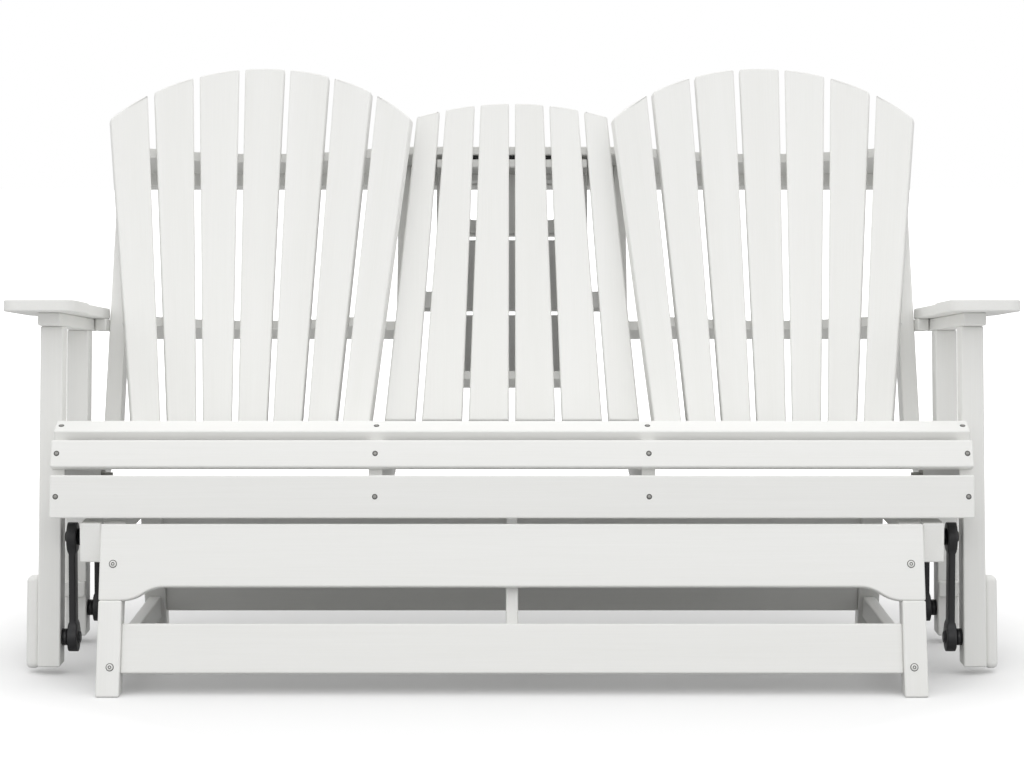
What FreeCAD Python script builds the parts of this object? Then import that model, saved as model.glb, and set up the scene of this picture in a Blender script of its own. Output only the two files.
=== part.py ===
"""Two-seat porch glider with fan backs and a fold-down console between them.

X runs to the right of a person facing the glider, Y to the back, Z up, in millimetres.
The origin is on the floor, under the middle of the whole piece.
"Depth" is counted backwards from the front edge of the front feet.
"Up" and "in" are counted along the raked back and square into it, from the seat corner.
"""
import FreeCAD, Part
import os
import Sketcher

doc = FreeCAD.newDocument("GliderLoveseat")

SIZES = {
    # Base
    "base_half_width": 668, "base_depth": 623, "base_height": 270,
    "leg_thick": 38, "leg_rake": 15,
    "apron_thick": 22, "apron_drop": 124, "apron_shoulder": 36,
    "apron_curve_run": 70, "apron_curve_rise": 22,
    "stretcher_thick": 22, "stretcher_height": 80, "stretcher_lift": 38,
    "side_stretcher_thick": 22, "side_stretcher_height": 40, "side_stretcher_lift": 20,
    "brace_thick": 20, "brace_height": 140, "brace_lift": 80,
    "side_beam_thick": 35, "side_beam_height": 64, "side_beam_front": 76,
    # Swing links and their pivots
    "link_reach": 169, "link_thick": 16, "link_eye": 48,
    "link_bar_width": 30, "link_bar_thick": 11,
    "pivot_dia": 12, "pivot_lift": 60, "pivot_depth": 196, "pivot_rear": 161,
    "upper_spacer": 23, "lower_spacer": 11, "spacer_dia": 28,
    "bolt_head_dia": 22, "bolt_head_thick": 4,
    "side_play": 0.3, "bore_clearance": 0.05,
    # Seat frame
    "seat_tilt": 6, "seat_clearance": 14, "front_clearance": 9,
    "post_width": 38, "post_thick": 45, "post_lift": 14,
    "cover_thick": 22, "cover_height": 153, "cover_lift": 8, "cover_setback": 15,
    "block_thick": 12, "block_height": 27, "block_lift": 84,
    "stringer_thick": 22, "inner_stringer": 212,
    "stringer_rear_depth": 600, "stringer_rear_height": 61,
    "frame_bolt_dia": 8, "frame_bolt_out": 20, "frame_bolt_lift": 10, "nut_dia": 15, "nut_thick": 6.5,
    # Seat slats
    "slat_thick": 20, "slat_end_gap": 1, "seat_front_depth": 71,
    "front_slat_width": 69.7, "front_slat_angle": 81.6, "front_gap": 13.2,
    "nose_slat_width": 45.4, "nose_slat_angle": 69.2,
    "crest_slat_width": 37.5, "crest_slat_angle": 20.8, "crest_setback": 23.5, "crest_rise": 11.8,
    "pan_setback": 47, "pan_slat_gap": 8, "pan_gap": 12, "pan_slope": 9.5,
    "screw_dia": 5, "screw_head_dia": 9, "screw_head_thick": 1.6,
    # Arms
    "arm_front_depth": 146.2, "arm_front_height": 630.3, "arm_thick": 20, "arm_rear_lap": 18,
    "arm_inner_overhang": 30, "arm_outer_overhang": 50, "arm_rear_gap": 2, "arm_rear_overhang": 24,
    "arm_paddle": 160, "arm_taper": 80, "arm_corner": 25, "arm_rear_corner": 15,
    "arm_beam_thick": 22, "arm_beam_front": 202, "arm_beam_lap": 132.6, "arm_cleat_near": 40,
    # Back frame
    "back_rake": 23, "back_depth": 493, "back_lift": 402,
    "upright_thick": 22, "upright_in": 77, "upright_width": 42,
    "outer_upright_thick": 30, "outer_upright_in": 32,
    "upright_low": -70, "upright_high": 545,
    "rail_thick": 17, "rail_seat": 1.2, "top_rail_up": 506.5, "fan_rail_drop": 15.5, "arm_rail_up": 165,
    "low_rail_up": -40, "console_tail_in": 24,
    "stiffener_thick": 22, "stiffener_drop": 40,
    # Fans
    "fan_centre": 462, "fan_foot_up": -40, "fan_top_up": 673, "fan_top_radius": 371,
    "fan_pitch_foot": 61.2, "fan_pitch_top": 84.3, "fan_sag_foot": 25, "fan_sag_top": 40,
    "fan_slat_foot": 51.5, "fan_slat_top": 74, "fan_turn": 5.5,
    # Console
    "console_low": 226, "console_high": 181, "console_gap": 11,
    "console_outer_low": 55, "console_outer_high": 43,
    "console_foot_up": -12, "console_top_up": 602, "console_top_radius": 577,
    "console_high_up": 530, "console_rest_gap": 0.4,
    "hinge_up": 24, "hinge_in": 31, "hinge_dia": 10, "hinge_reach": 30, "bracket_thick": 5,
    "bracket_nose": 8, "bracket_low_up": 30, "bracket_high_up": 62, "bracket_back": 112,
    "stile_width": 22, "stile_depth": 28, "stile_foot_up": 4,
    "stile_foot": 198, "stile_top": 164, "console_head_gap": 3,
    "batten_thick": 36, "batten_out": 108, "batten_width": 20,
    "table_half": 140, "table_thick": 18, "table_up": 70,
    "table_lap": 17, "table_gap": 11, "cup_dia": 80, "cup_spread": 66, "cup_from_top": 67.7,
    "lower_cleat_up": 70, "lower_cleat_height": 17, "upper_cleat_height": 17, "cleat_fit": 0.2,
    "bridge_up": 210, "bridge_height": 33.5, "bridge_thick": 22,
    "pad_half": 77, "pad_height": 5.5, "pad_in": 24, "pad_depth": 36,
    # Rounding of the boards' edges
    "edge_round": 3,
}

LAYOUT = {
    # Raked base frames
    "leg_sin": "sin(Sizes.leg_rake)",
    "leg_cos": "cos(Sizes.leg_rake)",
    "leg_tan": "tan(Sizes.leg_rake)",
    "leg_foot": "Sizes.leg_thick / leg_cos",
    "leg_inner": "Sizes.base_half_width - Sizes.leg_thick",
    "apron_slant": "Sizes.base_height / leg_cos - Sizes.apron_drop",
    "apron_back_depth": "apron_slant * leg_sin + Sizes.apron_thick * leg_cos",
    "apron_back_lift": "apron_slant * leg_cos - Sizes.apron_thick * leg_sin",
    "apron_arc": "(Sizes.apron_curve_run ^ 2 + Sizes.apron_curve_rise ^ 2) / (4 * Sizes.apron_curve_rise)",
    "stretcher_slant": "Sizes.stretcher_lift / leg_cos",
    "stretcher_in": "(Sizes.leg_thick - Sizes.stretcher_thick) / 2",
    "stretcher_back": "stretcher_in + Sizes.stretcher_thick",
    # Planes of the links, posts and stringers, along X
    "beam_outer": "Sizes.base_half_width + Sizes.side_beam_thick",
    "link_inner": "beam_outer + Sizes.upper_spacer",
    "link_outer": "link_inner + Sizes.link_thick",
    "post_inner": "link_outer + Sizes.lower_spacer",
    "post_outer": "post_inner + Sizes.post_width",
    "outer_stringer": "post_inner - Sizes.stringer_thick",
    "outer_upright": "outer_stringer - Sizes.outer_upright_thick",
    "inner_upright": "Sizes.inner_stringer - Sizes.upright_thick",
    "arm_inner": "post_inner - Sizes.arm_inner_overhang",
    "arm_outer": "post_outer + Sizes.arm_outer_overhang",
    "arm_rear_inner": "outer_stringer + Sizes.arm_rear_gap",
    "arm_rear_outer": "post_outer + Sizes.arm_rear_overhang",
    "cover_round": "Sizes.cover_thick * 0.4",
    "upper_pivot_lift": "Sizes.pivot_lift + Sizes.link_reach",
    "rear_pivot_depth": "Sizes.base_depth - Sizes.pivot_rear",
    # Seat slats: front faces, then the faces that lie on the stringers
    "slat_half": "post_inner - Sizes.slat_end_gap",
    "front_low_z": "Sizes.base_height + Sizes.front_clearance",
    "front_back_d": "Sizes.seat_front_depth + Sizes.slat_thick * sin(Sizes.front_slat_angle)",
    "front_back_z": "front_low_z - Sizes.slat_thick * cos(Sizes.front_slat_angle)",
    "front_reach": "Sizes.front_slat_width + Sizes.front_gap",
    "nose_d": "Sizes.seat_front_depth + front_reach * cos(Sizes.front_slat_angle)",
    "nose_z": "front_low_z + front_reach * sin(Sizes.front_slat_angle)",
    "nose_back_d": "nose_d + Sizes.slat_thick * sin(Sizes.nose_slat_angle)",
    "nose_back_z": "nose_z - Sizes.slat_thick * cos(Sizes.nose_slat_angle)",
    "crest_d": "nose_d + Sizes.nose_slat_width * cos(Sizes.nose_slat_angle) + Sizes.crest_setback",
    "crest_z": "nose_z + Sizes.nose_slat_width * sin(Sizes.nose_slat_angle) + Sizes.crest_rise",
    "crest_back_d": "crest_d + Sizes.slat_thick * sin(Sizes.crest_slat_angle)",
    "crest_back_z": "crest_z - Sizes.slat_thick * cos(Sizes.crest_slat_angle)",
    "pan_d": "crest_d + Sizes.crest_slat_width * cos(Sizes.crest_slat_angle)"
             " + Sizes.pan_gap * cos(Sizes.pan_slope)",
    "pan_z": "crest_z + Sizes.crest_slat_width * sin(Sizes.crest_slat_angle)"
             " - Sizes.pan_gap * sin(Sizes.pan_slope)",
    "pan_back_d": "pan_d - Sizes.slat_thick * sin(Sizes.pan_slope)",
    "pan_back_z": "pan_z - Sizes.slat_thick * cos(Sizes.pan_slope)",
    "pan_run": "(Sizes.back_depth - Sizes.pan_setback - pan_d) / cos(Sizes.pan_slope)",
    "pan_slat_width": "(pan_run - 3 * Sizes.pan_slat_gap) / 4",
    "pan_step": "pan_slat_width + Sizes.pan_slat_gap",
    "pan_end_d": "pan_back_d + pan_run * cos(Sizes.pan_slope)",
    "pan_end_z": "pan_back_z - pan_run * sin(Sizes.pan_slope)",
    "stringer_low": "Sizes.base_height + Sizes.seat_clearance",
    "stringer_rear_z": "stringer_low + Sizes.stringer_rear_height",
    "stringer_fall": "(pan_end_z - stringer_rear_z) / (Sizes.stringer_rear_depth - pan_end_d)",
    # Arms and posts, on the seat's tilt
    "tilt_cos": "cos(Sizes.seat_tilt)",
    "tilt_tan": "tan(Sizes.seat_tilt)",
    "arm_under": "Sizes.arm_front_height - Sizes.arm_thick / tilt_cos",
    "beam_under": "arm_under - Sizes.arm_beam_thick / tilt_cos",
    "post_half": "Sizes.post_thick / 2 / tilt_cos",
    "arm_beam_rear": "rear_pivot_depth + Sizes.arm_beam_lap",
    "arm_length": "(arm_beam_rear + Sizes.arm_rear_lap - Sizes.arm_front_depth) / tilt_cos",
    # Raked back
    "back_sin": "sin(Sizes.back_rake)",
    "back_cos": "cos(Sizes.back_rake)",
    "upright_back": "Sizes.upright_in + Sizes.upright_width",
    "fan_rail_up": "Sizes.top_rail_up - Sizes.fan_rail_drop",
    "fan_height": "Sizes.fan_top_up - Sizes.fan_foot_up",
    "fan_length": "fan_height + Sizes.slat_thick",
    "pitch_rate": "(Sizes.fan_pitch_top - Sizes.fan_pitch_foot) / fan_height",
    "sag_rate": "(Sizes.fan_sag_top - Sizes.fan_sag_foot) / fan_height",
    "width_rate": "(Sizes.fan_slat_top - Sizes.fan_slat_foot) / fan_height",
    "fan_slat_tip": "Sizes.fan_slat_foot + width_rate * fan_length",
    # Console, whose slats taper towards the top
    "console_rate": "(Sizes.console_high - Sizes.console_low) / Sizes.console_high_up",
    "outer_rate": "(Sizes.console_outer_high - Sizes.console_outer_low) / Sizes.console_high_up",
    "table_in": "Sizes.slat_thick + Sizes.batten_thick",
    "table_back": "table_in + Sizes.table_thick",
    "stile_top_up": "Sizes.top_rail_up - Sizes.pad_height - Sizes.console_head_gap",
    "stile_rate": "(Sizes.stile_top - Sizes.stile_foot) / (stile_top_up - Sizes.stile_foot_up)",
    "upper_cleat_up": "stile_top_up - Sizes.upper_cleat_height",
    "table_top": "upper_cleat_up + Sizes.table_lap",
    "table_board": "(table_top - Sizes.table_up - 2 * Sizes.table_gap) / 3",
    "table_step": "table_board + Sizes.table_gap",
    "stile_back": "Sizes.slat_thick + Sizes.stile_depth",
    "rear_reach": "Sizes.back_depth + Sizes.upright_high * back_sin + upright_back * back_cos",
    "mid_depth": "rear_reach / 2",
}


def fill_sheet(name, cells):
    """Write a sheet of named cells and return it."""
    sheet = doc.addObject("Spreadsheet::Sheet", name)
    for row, (alias, content) in enumerate(cells.items(), start=1):
        text = content if isinstance(content, str) else str(content)
        sheet.set(f"A{row}", alias)
        sheet.set(f"B{row}", f"={text}" if isinstance(content, str) else text)
        sheet.setAlias(f"B{row}", alias)
    doc.recompute()
    return sheet


sizes = fill_sheet("Sizes", SIZES)
layout = fill_sheet("Layout", LAYOUT)
nodes = {}


def value(expression):
    """Work out an expression over the sheets as a plain number."""
    result = sizes.evalExpression(str(expression))
    return float(getattr(result, "Value", result))


# Places


def side_place(x, depth="0", lift="0"):
    """Sketch x runs back, sketch y runs up, and thickness runs to the right from x."""
    return f"placement(vector({x}; {depth} - Layout.mid_depth; {lift}); rotation(90; 0; 90))"


def flat_place(x, depth, lift, angle):
    """Sketch x runs right, and sketch y climbs to the back at the given angle."""
    return f"placement(vector({x}; {depth} - Layout.mid_depth; {lift}); rotationx({angle}))"


def back_point(up, inward):
    """Depth and lift of a point on the raked back."""
    depth = f"(Sizes.back_depth + ({up}) * Layout.back_sin + ({inward}) * Layout.back_cos)"
    lift = f"(Sizes.back_lift + ({up}) * Layout.back_cos - ({inward}) * Layout.back_sin)"
    return depth, lift


def back_face_place(inward, x="0", up="0"):
    """Sketch x runs right, sketch y up the back, and thickness comes forward from inward."""
    return flat_place(x, *back_point(up, inward), "90 - Sizes.back_rake")


def back_plan_place(up):
    """Sketch x runs right, sketch y runs into the back, and thickness goes up the back."""
    return flat_place("0", *back_point(up, "0"), "-Sizes.back_rake")


def back_side_place(x):
    """Sketch x runs into the back, sketch y up the back, and thickness runs to the right."""
    depth, lift = back_point("0", "0")
    turn = "rotationx(-Sizes.back_rake) * rotation(90; 0; 90)"
    return f"placement(vector({x}; {depth} - Layout.mid_depth; {lift}); {turn})"


# Boards


def add_outline(sketch, points, arcs, holes):
    """Draw a closed outline of lines and arcs, with round holes, bound to the sheets."""
    corners = [FreeCAD.Vector(value(x), value(y), 0) for x, y in points]
    ends = []
    for index, start in enumerate(corners):
        end = corners[(index + 1) % len(corners)]
        if index not in arcs:
            geometry = sketch.addGeometry(Part.LineSegment(start, end), False)
            ends.append((geometry, 1, 2))
            continue
        radius, side = arcs[index]
        chord = end - start
        half = chord.Length / 2
        left = FreeCAD.Vector(-chord.y, chord.x, 0).normalize()
        rise = max(value(radius) ** 2 - half ** 2, 0) ** 0.5
        centre = (start + end) / 2 + left * rise * side
        first, last = (start, end) if side > 0 else (end, start)
        middle = centre - left * value(radius) * side
        geometry = sketch.addGeometry(Part.Arc(first, middle, last), False)
        ends.append((geometry, 1, 2) if side > 0 else (geometry, 2, 1))
        row = sketch.addConstraint(Sketcher.Constraint("Radius", geometry, value(radius)))
        sketch.setExpression(f"Constraints[{row}]", str(radius))
    for index, (geometry, start_end, far_end) in enumerate(ends):
        following = ends[(index + 1) % len(ends)]
        sketch.addConstraint(Sketcher.Constraint("Coincident", geometry, far_end, following[0], following[1]))
        bind_point(sketch, geometry, start_end, points[index])
    for x, y, radius in holes:
        circle = Part.Circle(FreeCAD.Vector(value(x), value(y), 0), FreeCAD.Vector(0, 0, 1), value(radius))
        geometry = sketch.addGeometry(circle, False)
        bind_point(sketch, geometry, 3, (x, y))
        row = sketch.addConstraint(Sketcher.Constraint("Radius", geometry, value(radius)))
        sketch.setExpression(f"Constraints[{row}]", str(radius))


def bind_point(sketch, geometry, end, point):
    """Hold one point of a sketch at expressions for its x and y."""
    for kind, expression in zip(("DistanceX", "DistanceY"), point):
        rule = Sketcher.Constraint(kind, -1, 1, geometry, end, value(expression))
        row = sketch.addConstraint(rule)
        sketch.setExpression(f"Constraints[{row}]", str(expression))


def board(label, points, thickness, place, arcs=None, holes=(), rounding="Sizes.edge_round", node=True):
    """Pad an outline to a board, round its edges unless told not to, and put it in place."""
    body = doc.addObject("PartDesign::Body", label)
    plane = next(item for item in body.Origin.OriginFeatures if item.Role == "XY_Plane")
    sketch = body.newObject("Sketcher::SketchObject", f"{label}_outline")
    sketch.AttachmentSupport = [(plane, "")]
    sketch.MapMode = "FlatFace"
    add_outline(sketch, points, arcs or {}, holes)
    pad = body.newObject("PartDesign::Pad", f"{label}_pad")
    pad.Profile = sketch
    pad.setExpression("Length", thickness)
    if rounding:
        doc.recompute()
        rims = [f"Edge{number}" for number, edge in enumerate(pad.Shape.Edges, start=1)
                if edge.Curve.TypeId != "Part::GeomCircle" or edge.Length < 0.9 * edge.Curve.Radius * 6.28]
        fillet = body.newObject("PartDesign::Fillet", f"{label}_rounding")
        fillet.Base = (pad, rims)
        fillet.setExpression("Radius", rounding)
    body.setExpression("Placement", place)
    if node:
        nodes[label] = body
    return body


def rectangle(x_low, y_low, x_high, y_high):
    """Corners of a rectangle, anticlockwise."""
    return [(x_low, y_low), (x_high, y_low), (x_high, y_high), (x_low, y_high)]


def group(label, members):
    """Gather like pieces into one node of separate solids."""
    compound = doc.addObject("Part::Compound", label)
    compound.Links = members
    nodes[label] = compound
    return compound


def cylinder(label, radius, height, place):
    """A plain cylinder along the local Z of its place."""
    shape = doc.addObject("Part::Cylinder", label)
    shape.setExpression("Radius", radius)
    shape.setExpression("Height", height)
    shape.setExpression("Placement", place)
    return shape


def along(place, start):
    """Shift a place along its own thickness direction."""
    return f"{place} * placement(vector(0; 0; {start}); rotationx(0))"


SIDES = (("left", -1), ("right", 1))


def spread(side, inner, thickness):
    """Left-hand X of a board that starts at inner, on either side of the middle."""
    return f"{inner}" if side > 0 else f"-({inner}) - ({thickness})"


# Base


def base_leg(label, x, rear):
    """A raked leg with a level foot and a step that the apron sits in."""
    seat_d = "Layout.apron_slant * Layout.leg_sin"
    seat_z = "Layout.apron_slant * Layout.leg_cos"
    step_d = "Layout.apron_back_depth"
    step_z = "Layout.apron_back_lift"
    run = "Sizes.base_height * Layout.leg_tan"
    points = [
        ("0", "0"),
        ("Layout.leg_foot", "0"),
        (f"Layout.leg_foot + {run}", "Sizes.base_height"),
        (f"{step_d} + (Sizes.base_height - {step_z}) * Layout.leg_tan", "Sizes.base_height"),
        (step_d, step_z),
        (seat_d, seat_z),
    ]
    if rear:
        points = [(f"Sizes.base_depth - ({d})", z) for d, z in points]
    board(label, points, "Sizes.leg_thick", side_place(x))


def base_cross_boards():
    """Front and rear apron with an arched lower edge, and the stretchers below them."""
    shoulder = "(Sizes.base_half_width - Sizes.apron_shoulder)"
    middle = f"({shoulder} - Sizes.apron_curve_run / 2)"
    crown = f"({shoulder} - Sizes.apron_curve_run)"
    rise = "Sizes.apron_curve_rise"
    apron = [
        ("-Sizes.base_half_width", "0"), (f"-{shoulder}", "0"), (f"-{middle}", f"{rise} / 2"),
        (f"-{crown}", rise), (crown, rise), (middle, f"{rise} / 2"), (shoulder, "0"),
        ("Sizes.base_half_width", "0"), ("Sizes.base_half_width", "Sizes.apron_drop"),
        ("-Sizes.base_half_width", "Sizes.apron_drop"),
    ]
    radius = "Layout.apron_arc"
    arcs = {1: (radius, 1), 2: (radius, -1), 4: (radius, -1), 5: (radius, 1)}
    front_angle = "90 - Sizes.leg_rake"
    rear_angle = "90 + Sizes.leg_rake"
    board("front_apron", apron, "Sizes.apron_thick",
          flat_place("0", "Layout.apron_back_depth", "Layout.apron_back_lift", front_angle), arcs)
    board("rear_apron", apron, "Sizes.apron_thick",
          flat_place("0", "Sizes.base_depth - Layout.apron_slant * Layout.leg_sin",
                     "Layout.apron_slant * Layout.leg_cos", rear_angle), arcs)
    bar = rectangle("-Layout.leg_inner", "0", "Layout.leg_inner", "Sizes.stretcher_height")
    slant = "Layout.stretcher_slant"
    for label, inward, angle in (("front_stretcher", "Layout.stretcher_back", front_angle),
                                 ("rear_stretcher", "Layout.stretcher_in", rear_angle)):
        depth = f"({slant} * Layout.leg_sin + {inward} * Layout.leg_cos)"
        lift = f"{slant} * Layout.leg_cos - {inward} * Layout.leg_sin"
        if label == "rear_stretcher":
            depth = f"Sizes.base_depth - {depth}"
        board(label, bar, "Sizes.stretcher_thick", flat_place("0", depth, lift, angle))


def between_legs(setback, low, height):
    """Outline of a board whose ends follow the rake of the front and rear frames."""
    high = f"({low} + {height})"
    near_low = f"({setback} + {low} * Layout.leg_tan)"
    near_high = f"({setback} + {high} * Layout.leg_tan)"
    return [(near_low, low), (f"Sizes.base_depth - {near_low}", low),
            (f"Sizes.base_depth - {near_high}", high), (near_high, high)]


def base_frame():
    """All boards that stand still on the floor."""
    for name, side in SIDES:
        x = spread(side, "Layout.leg_inner", "Sizes.leg_thick")
        base_leg(f"front_{name}_leg", x, rear=False)
        base_leg(f"rear_{name}_leg", x, rear=True)
    base_cross_boards()
    stretchers = []
    outline = between_legs("Layout.leg_foot", "Sizes.side_stretcher_lift", "Sizes.side_stretcher_height")
    middle = "(Layout.leg_inner + (Sizes.leg_thick - Sizes.side_stretcher_thick) / 2)"
    for name, side in SIDES:
        place = side_place(spread(side, middle, "Sizes.side_stretcher_thick"))
        stretchers.append(board(f"{name}_side_stretcher", outline, "Sizes.side_stretcher_thick", place,
                                node=False))
    group("side_stretchers", stretchers)
    brace = between_legs("Layout.stretcher_back / Layout.leg_cos", "Sizes.brace_lift", "Sizes.brace_height")
    board("centre_brace", brace, "Sizes.brace_thick", side_place("-Sizes.brace_thick / 2"))
    bore = "Sizes.pivot_dia / 2 + Sizes.bore_clearance"
    pivots = ["Sizes.pivot_depth", "Layout.rear_pivot_depth"]
    outline = rectangle("Sizes.side_beam_front", "Sizes.base_height - Sizes.side_beam_height",
                        "Sizes.base_depth - Sizes.side_beam_front", "Sizes.base_height")
    for name, side in SIDES:
        x = spread(side, "Sizes.base_half_width", "Sizes.side_beam_thick")
        board(f"{name}_side_beam", outline, "Sizes.side_beam_thick", side_place(x),
              holes=[(depth, "Layout.upper_pivot_lift", bore) for depth in pivots])


# Swing links


def swing_link(label, side, depth):
    """A flat bar with an eye at each pivot, bored for a running fit on the pivot bolts."""
    place = side_place(spread(side, "Layout.link_inner", "Sizes.link_thick"), depth, "Sizes.pivot_lift")
    bar = doc.addObject("Part::Box", f"{label}_bar")
    bar.setExpression("Length", "Sizes.link_bar_width")
    bar.setExpression("Width", "Sizes.link_reach")
    bar.setExpression("Height", "Sizes.link_bar_thick")
    inset = "(Sizes.link_thick - Sizes.link_bar_thick) / 2"
    bar.setExpression("Placement",
                      f"{place} * placement(vector(-Sizes.link_bar_width / 2; 0; {inset}); rotationx(0))")
    eyes, bores = [], []
    for end, lift in (("lower", "0"), ("upper", "Sizes.link_reach")):
        centre = f"{place} * placement(vector(0; {lift}; 0); rotationx(0))"
        eyes.append(cylinder(f"{label}_{end}_eye", "Sizes.link_eye / 2", "Sizes.link_thick", centre))
        bores.append(cylinder(f"{label}_{end}_bore", "Sizes.pivot_dia / 2 + Sizes.bore_clearance",
                              "Sizes.link_thick", centre))
    solid = doc.addObject("Part::MultiFuse", f"{label}_solid")
    solid.Shapes = [bar] + eyes
    holes = doc.addObject("Part::Compound", f"{label}_bores")
    holes.Links = bores
    link = doc.addObject("Part::Cut", label)
    link.Base = solid
    link.Tool = holes
    nodes[label] = link


def stepped_pin(label, steps, place):
    """A turned bolt of coaxial steps, each a start, a length and a diameter."""
    parts = [cylinder(f"{label}_step_{number}", f"({dia}) / 2", length, along(place, start))
             for number, (start, length, dia) in enumerate(steps)]
    pin = doc.addObject("Part::MultiFuse", label)
    pin.Shapes = parts
    return pin


def pivot_place(side, depth, lift):
    """Place whose thickness direction points outwards from the middle."""
    turn = "rotation(90; 0; 90)" if side > 0 else "rotation(-90; 0; 90)"
    return f"placement(vector(0; {depth} - Layout.mid_depth; {lift}); {turn})"


def swing_links():
    """Four links, with the bolts that hold them to the base and to the posts."""
    upper, lower = [], []
    head = "Sizes.bolt_head_thick"
    play = "Sizes.side_play"
    upper_steps = [
        ("Sizes.base_half_width", f"Layout.link_outer - Sizes.base_half_width + {play}", "Sizes.pivot_dia"),
        ("Layout.beam_outer", f"Sizes.upper_spacer - {play}", "Sizes.spacer_dia"),
        (f"Layout.link_outer + {play}", head, "Sizes.bolt_head_dia"),
    ]
    lower_steps = [
        (f"Layout.link_inner - {play} - {head}", head, "Sizes.bolt_head_dia"),
        (f"Layout.link_inner - {play}", f"Layout.post_outer - Layout.link_inner + {play}", "Sizes.pivot_dia"),
        (f"Layout.link_outer + {play}", f"Sizes.lower_spacer - {play}", "Sizes.spacer_dia"),
    ]
    for end, depth in (("front", "Sizes.pivot_depth"), ("rear", "Layout.rear_pivot_depth")):
        for name, side in SIDES:
            swing_link(f"{end}_{name}_link", side, depth)
            upper.append(stepped_pin(f"{end}_{name}_upper_bolt", upper_steps,
                                     pivot_place(side, depth, "Layout.upper_pivot_lift")))
            lower.append(stepped_pin(f"{end}_{name}_lower_bolt", lower_steps,
                                     pivot_place(side, depth, "Sizes.pivot_lift")))
    group("upper_pivot_bolts", upper)
    group("lower_pivot_bolts", lower)


# Seat


def post(label, x, depth):
    """A post square to the arm, bored for the lower pivot, with a level foot."""
    points = []
    for edge in (f"({depth} - Layout.post_half)", f"({depth} + Layout.post_half)"):
        lean = f"({edge} - Sizes.pivot_lift * Layout.tilt_tan)"
        top = (f"((Layout.beam_under - ({lean} - Sizes.arm_front_depth) * Layout.tilt_tan)"
               f" / (1 + Layout.tilt_tan ^ 2))")
        points.append(((f"{lean} + Sizes.post_lift * Layout.tilt_tan", "Sizes.post_lift"),
                       (f"{lean} + {top} * Layout.tilt_tan", top)))
    (front_low, front_high), (back_low, back_high) = points
    bore = "Sizes.pivot_dia / 2 + Sizes.bore_clearance"
    board(label, [front_low, back_low, back_high, front_high], "Sizes.post_width", side_place(x),
          holes=[(depth, "Sizes.pivot_lift", bore)])


def arm(label, side):
    """A paddle-shaped arm board, wide in front and narrower beside the upright."""
    corner = "Sizes.arm_corner"
    rear = "Sizes.arm_rear_corner"
    waist = "Sizes.arm_paddle + Sizes.arm_taper"
    points = [
        (f"Layout.arm_inner + {corner}", "0"), (f"Layout.arm_outer - {corner}", "0"),
        ("Layout.arm_outer", corner), ("Layout.arm_outer", waist),
        ("Layout.arm_rear_outer", f"Layout.arm_length - {rear}"),
        (f"Layout.arm_rear_outer - {rear}", "Layout.arm_length"),
        ("Layout.arm_rear_inner", "Layout.arm_length"), ("Layout.arm_rear_inner", waist),
        ("Layout.arm_inner", "Sizes.arm_paddle"), ("Layout.arm_inner", corner),
    ]
    if side < 0:
        points = [(f"-({x})", y) for x, y in points]
    arcs = {1: (corner, side), 9: (corner, side), 4: (rear, side)}
    board(label, points, "Sizes.arm_thick",
          flat_place("0", "Sizes.arm_front_depth", "Layout.arm_under", "-Sizes.seat_tilt"), arcs)


def sloped_bar(near, far, top, height):
    """Side outline of a bar that hangs below the arm's slope, with upright ends."""
    rows = []
    for depth in (near, far):
        high = f"({top} - ({depth} - Sizes.arm_front_depth) * Layout.tilt_tan)"
        rows.append(((depth, f"{high} - {height} / Layout.tilt_cos"), (depth, high)))
    (near_low, near_high), (far_low, far_high) = rows
    return [near_low, far_low, far_high, near_high]


def leaning_outline(near, far, low, height):
    """Side outline of a board that leans as the posts do, with level ends."""
    high = f"({low} + {height})"
    return [(f"{edge} + ({lift} - Sizes.pivot_lift) * Layout.tilt_tan", lift)
            for edge, lift in ((near, low), (far, low), (far, high), (near, high))]


def seat_sides():
    """Posts with the covers over their pivots, arm beams, and arms with a cleat to the uprights."""
    covers, cleats, blocks = [], [], []
    rear_face = "(Layout.rear_pivot_depth - Layout.post_half)"
    block = leaning_outline(f"({rear_face} - Sizes.block_thick)", rear_face,
                            "Sizes.block_lift", "Sizes.block_height")
    beam = sloped_bar("Sizes.arm_beam_front", "Layout.arm_beam_rear", "Layout.arm_under",
                      "Sizes.arm_beam_thick")
    cleat = sloped_bar("(Layout.arm_beam_rear - Sizes.arm_cleat_near)",
                       "(Layout.arm_beam_rear + Sizes.arm_rear_lap)", "Layout.arm_under", "Sizes.arm_beam_thick")
    cleat_thick = "(Layout.post_inner - Sizes.slat_end_gap - Layout.outer_stringer)"
    for name, side in SIDES:
        x = spread(side, "Layout.post_inner", "Sizes.post_width")
        cover_x = spread(side, "Layout.post_outer", "Sizes.cover_thick")
        for end, depth in (("front", "Sizes.pivot_depth"), ("rear", "Layout.rear_pivot_depth")):
            post(f"{end}_{name}_post", x, depth)
            cover = leaning_outline(f"({depth} - Layout.post_half + Sizes.cover_setback)",
                                    f"({depth} + Layout.post_half)", "Sizes.cover_lift", "Sizes.cover_height")
            covers.append(board(f"{end}_{name}_cover", cover, "Sizes.cover_thick", side_place(cover_x),
                                rounding="Layout.cover_round", node=False))
        blocks.append(board(f"{name}_block", block, "Sizes.post_width", side_place(x), node=False))
        board(f"{name}_arm_beam", beam, "Sizes.post_width", side_place(x))
        arm(f"{name}_arm", side)
        cleats.append(board(f"{name}_arm_cleat", cleat, cleat_thick,
                            side_place(spread(side, "Layout.outer_stringer", cleat_thick)), node=False))
    group("pivot_covers", covers)
    group("rear_blocks", blocks)
    group("arm_cleats", cleats)


PAN_SLATS = 4


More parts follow.
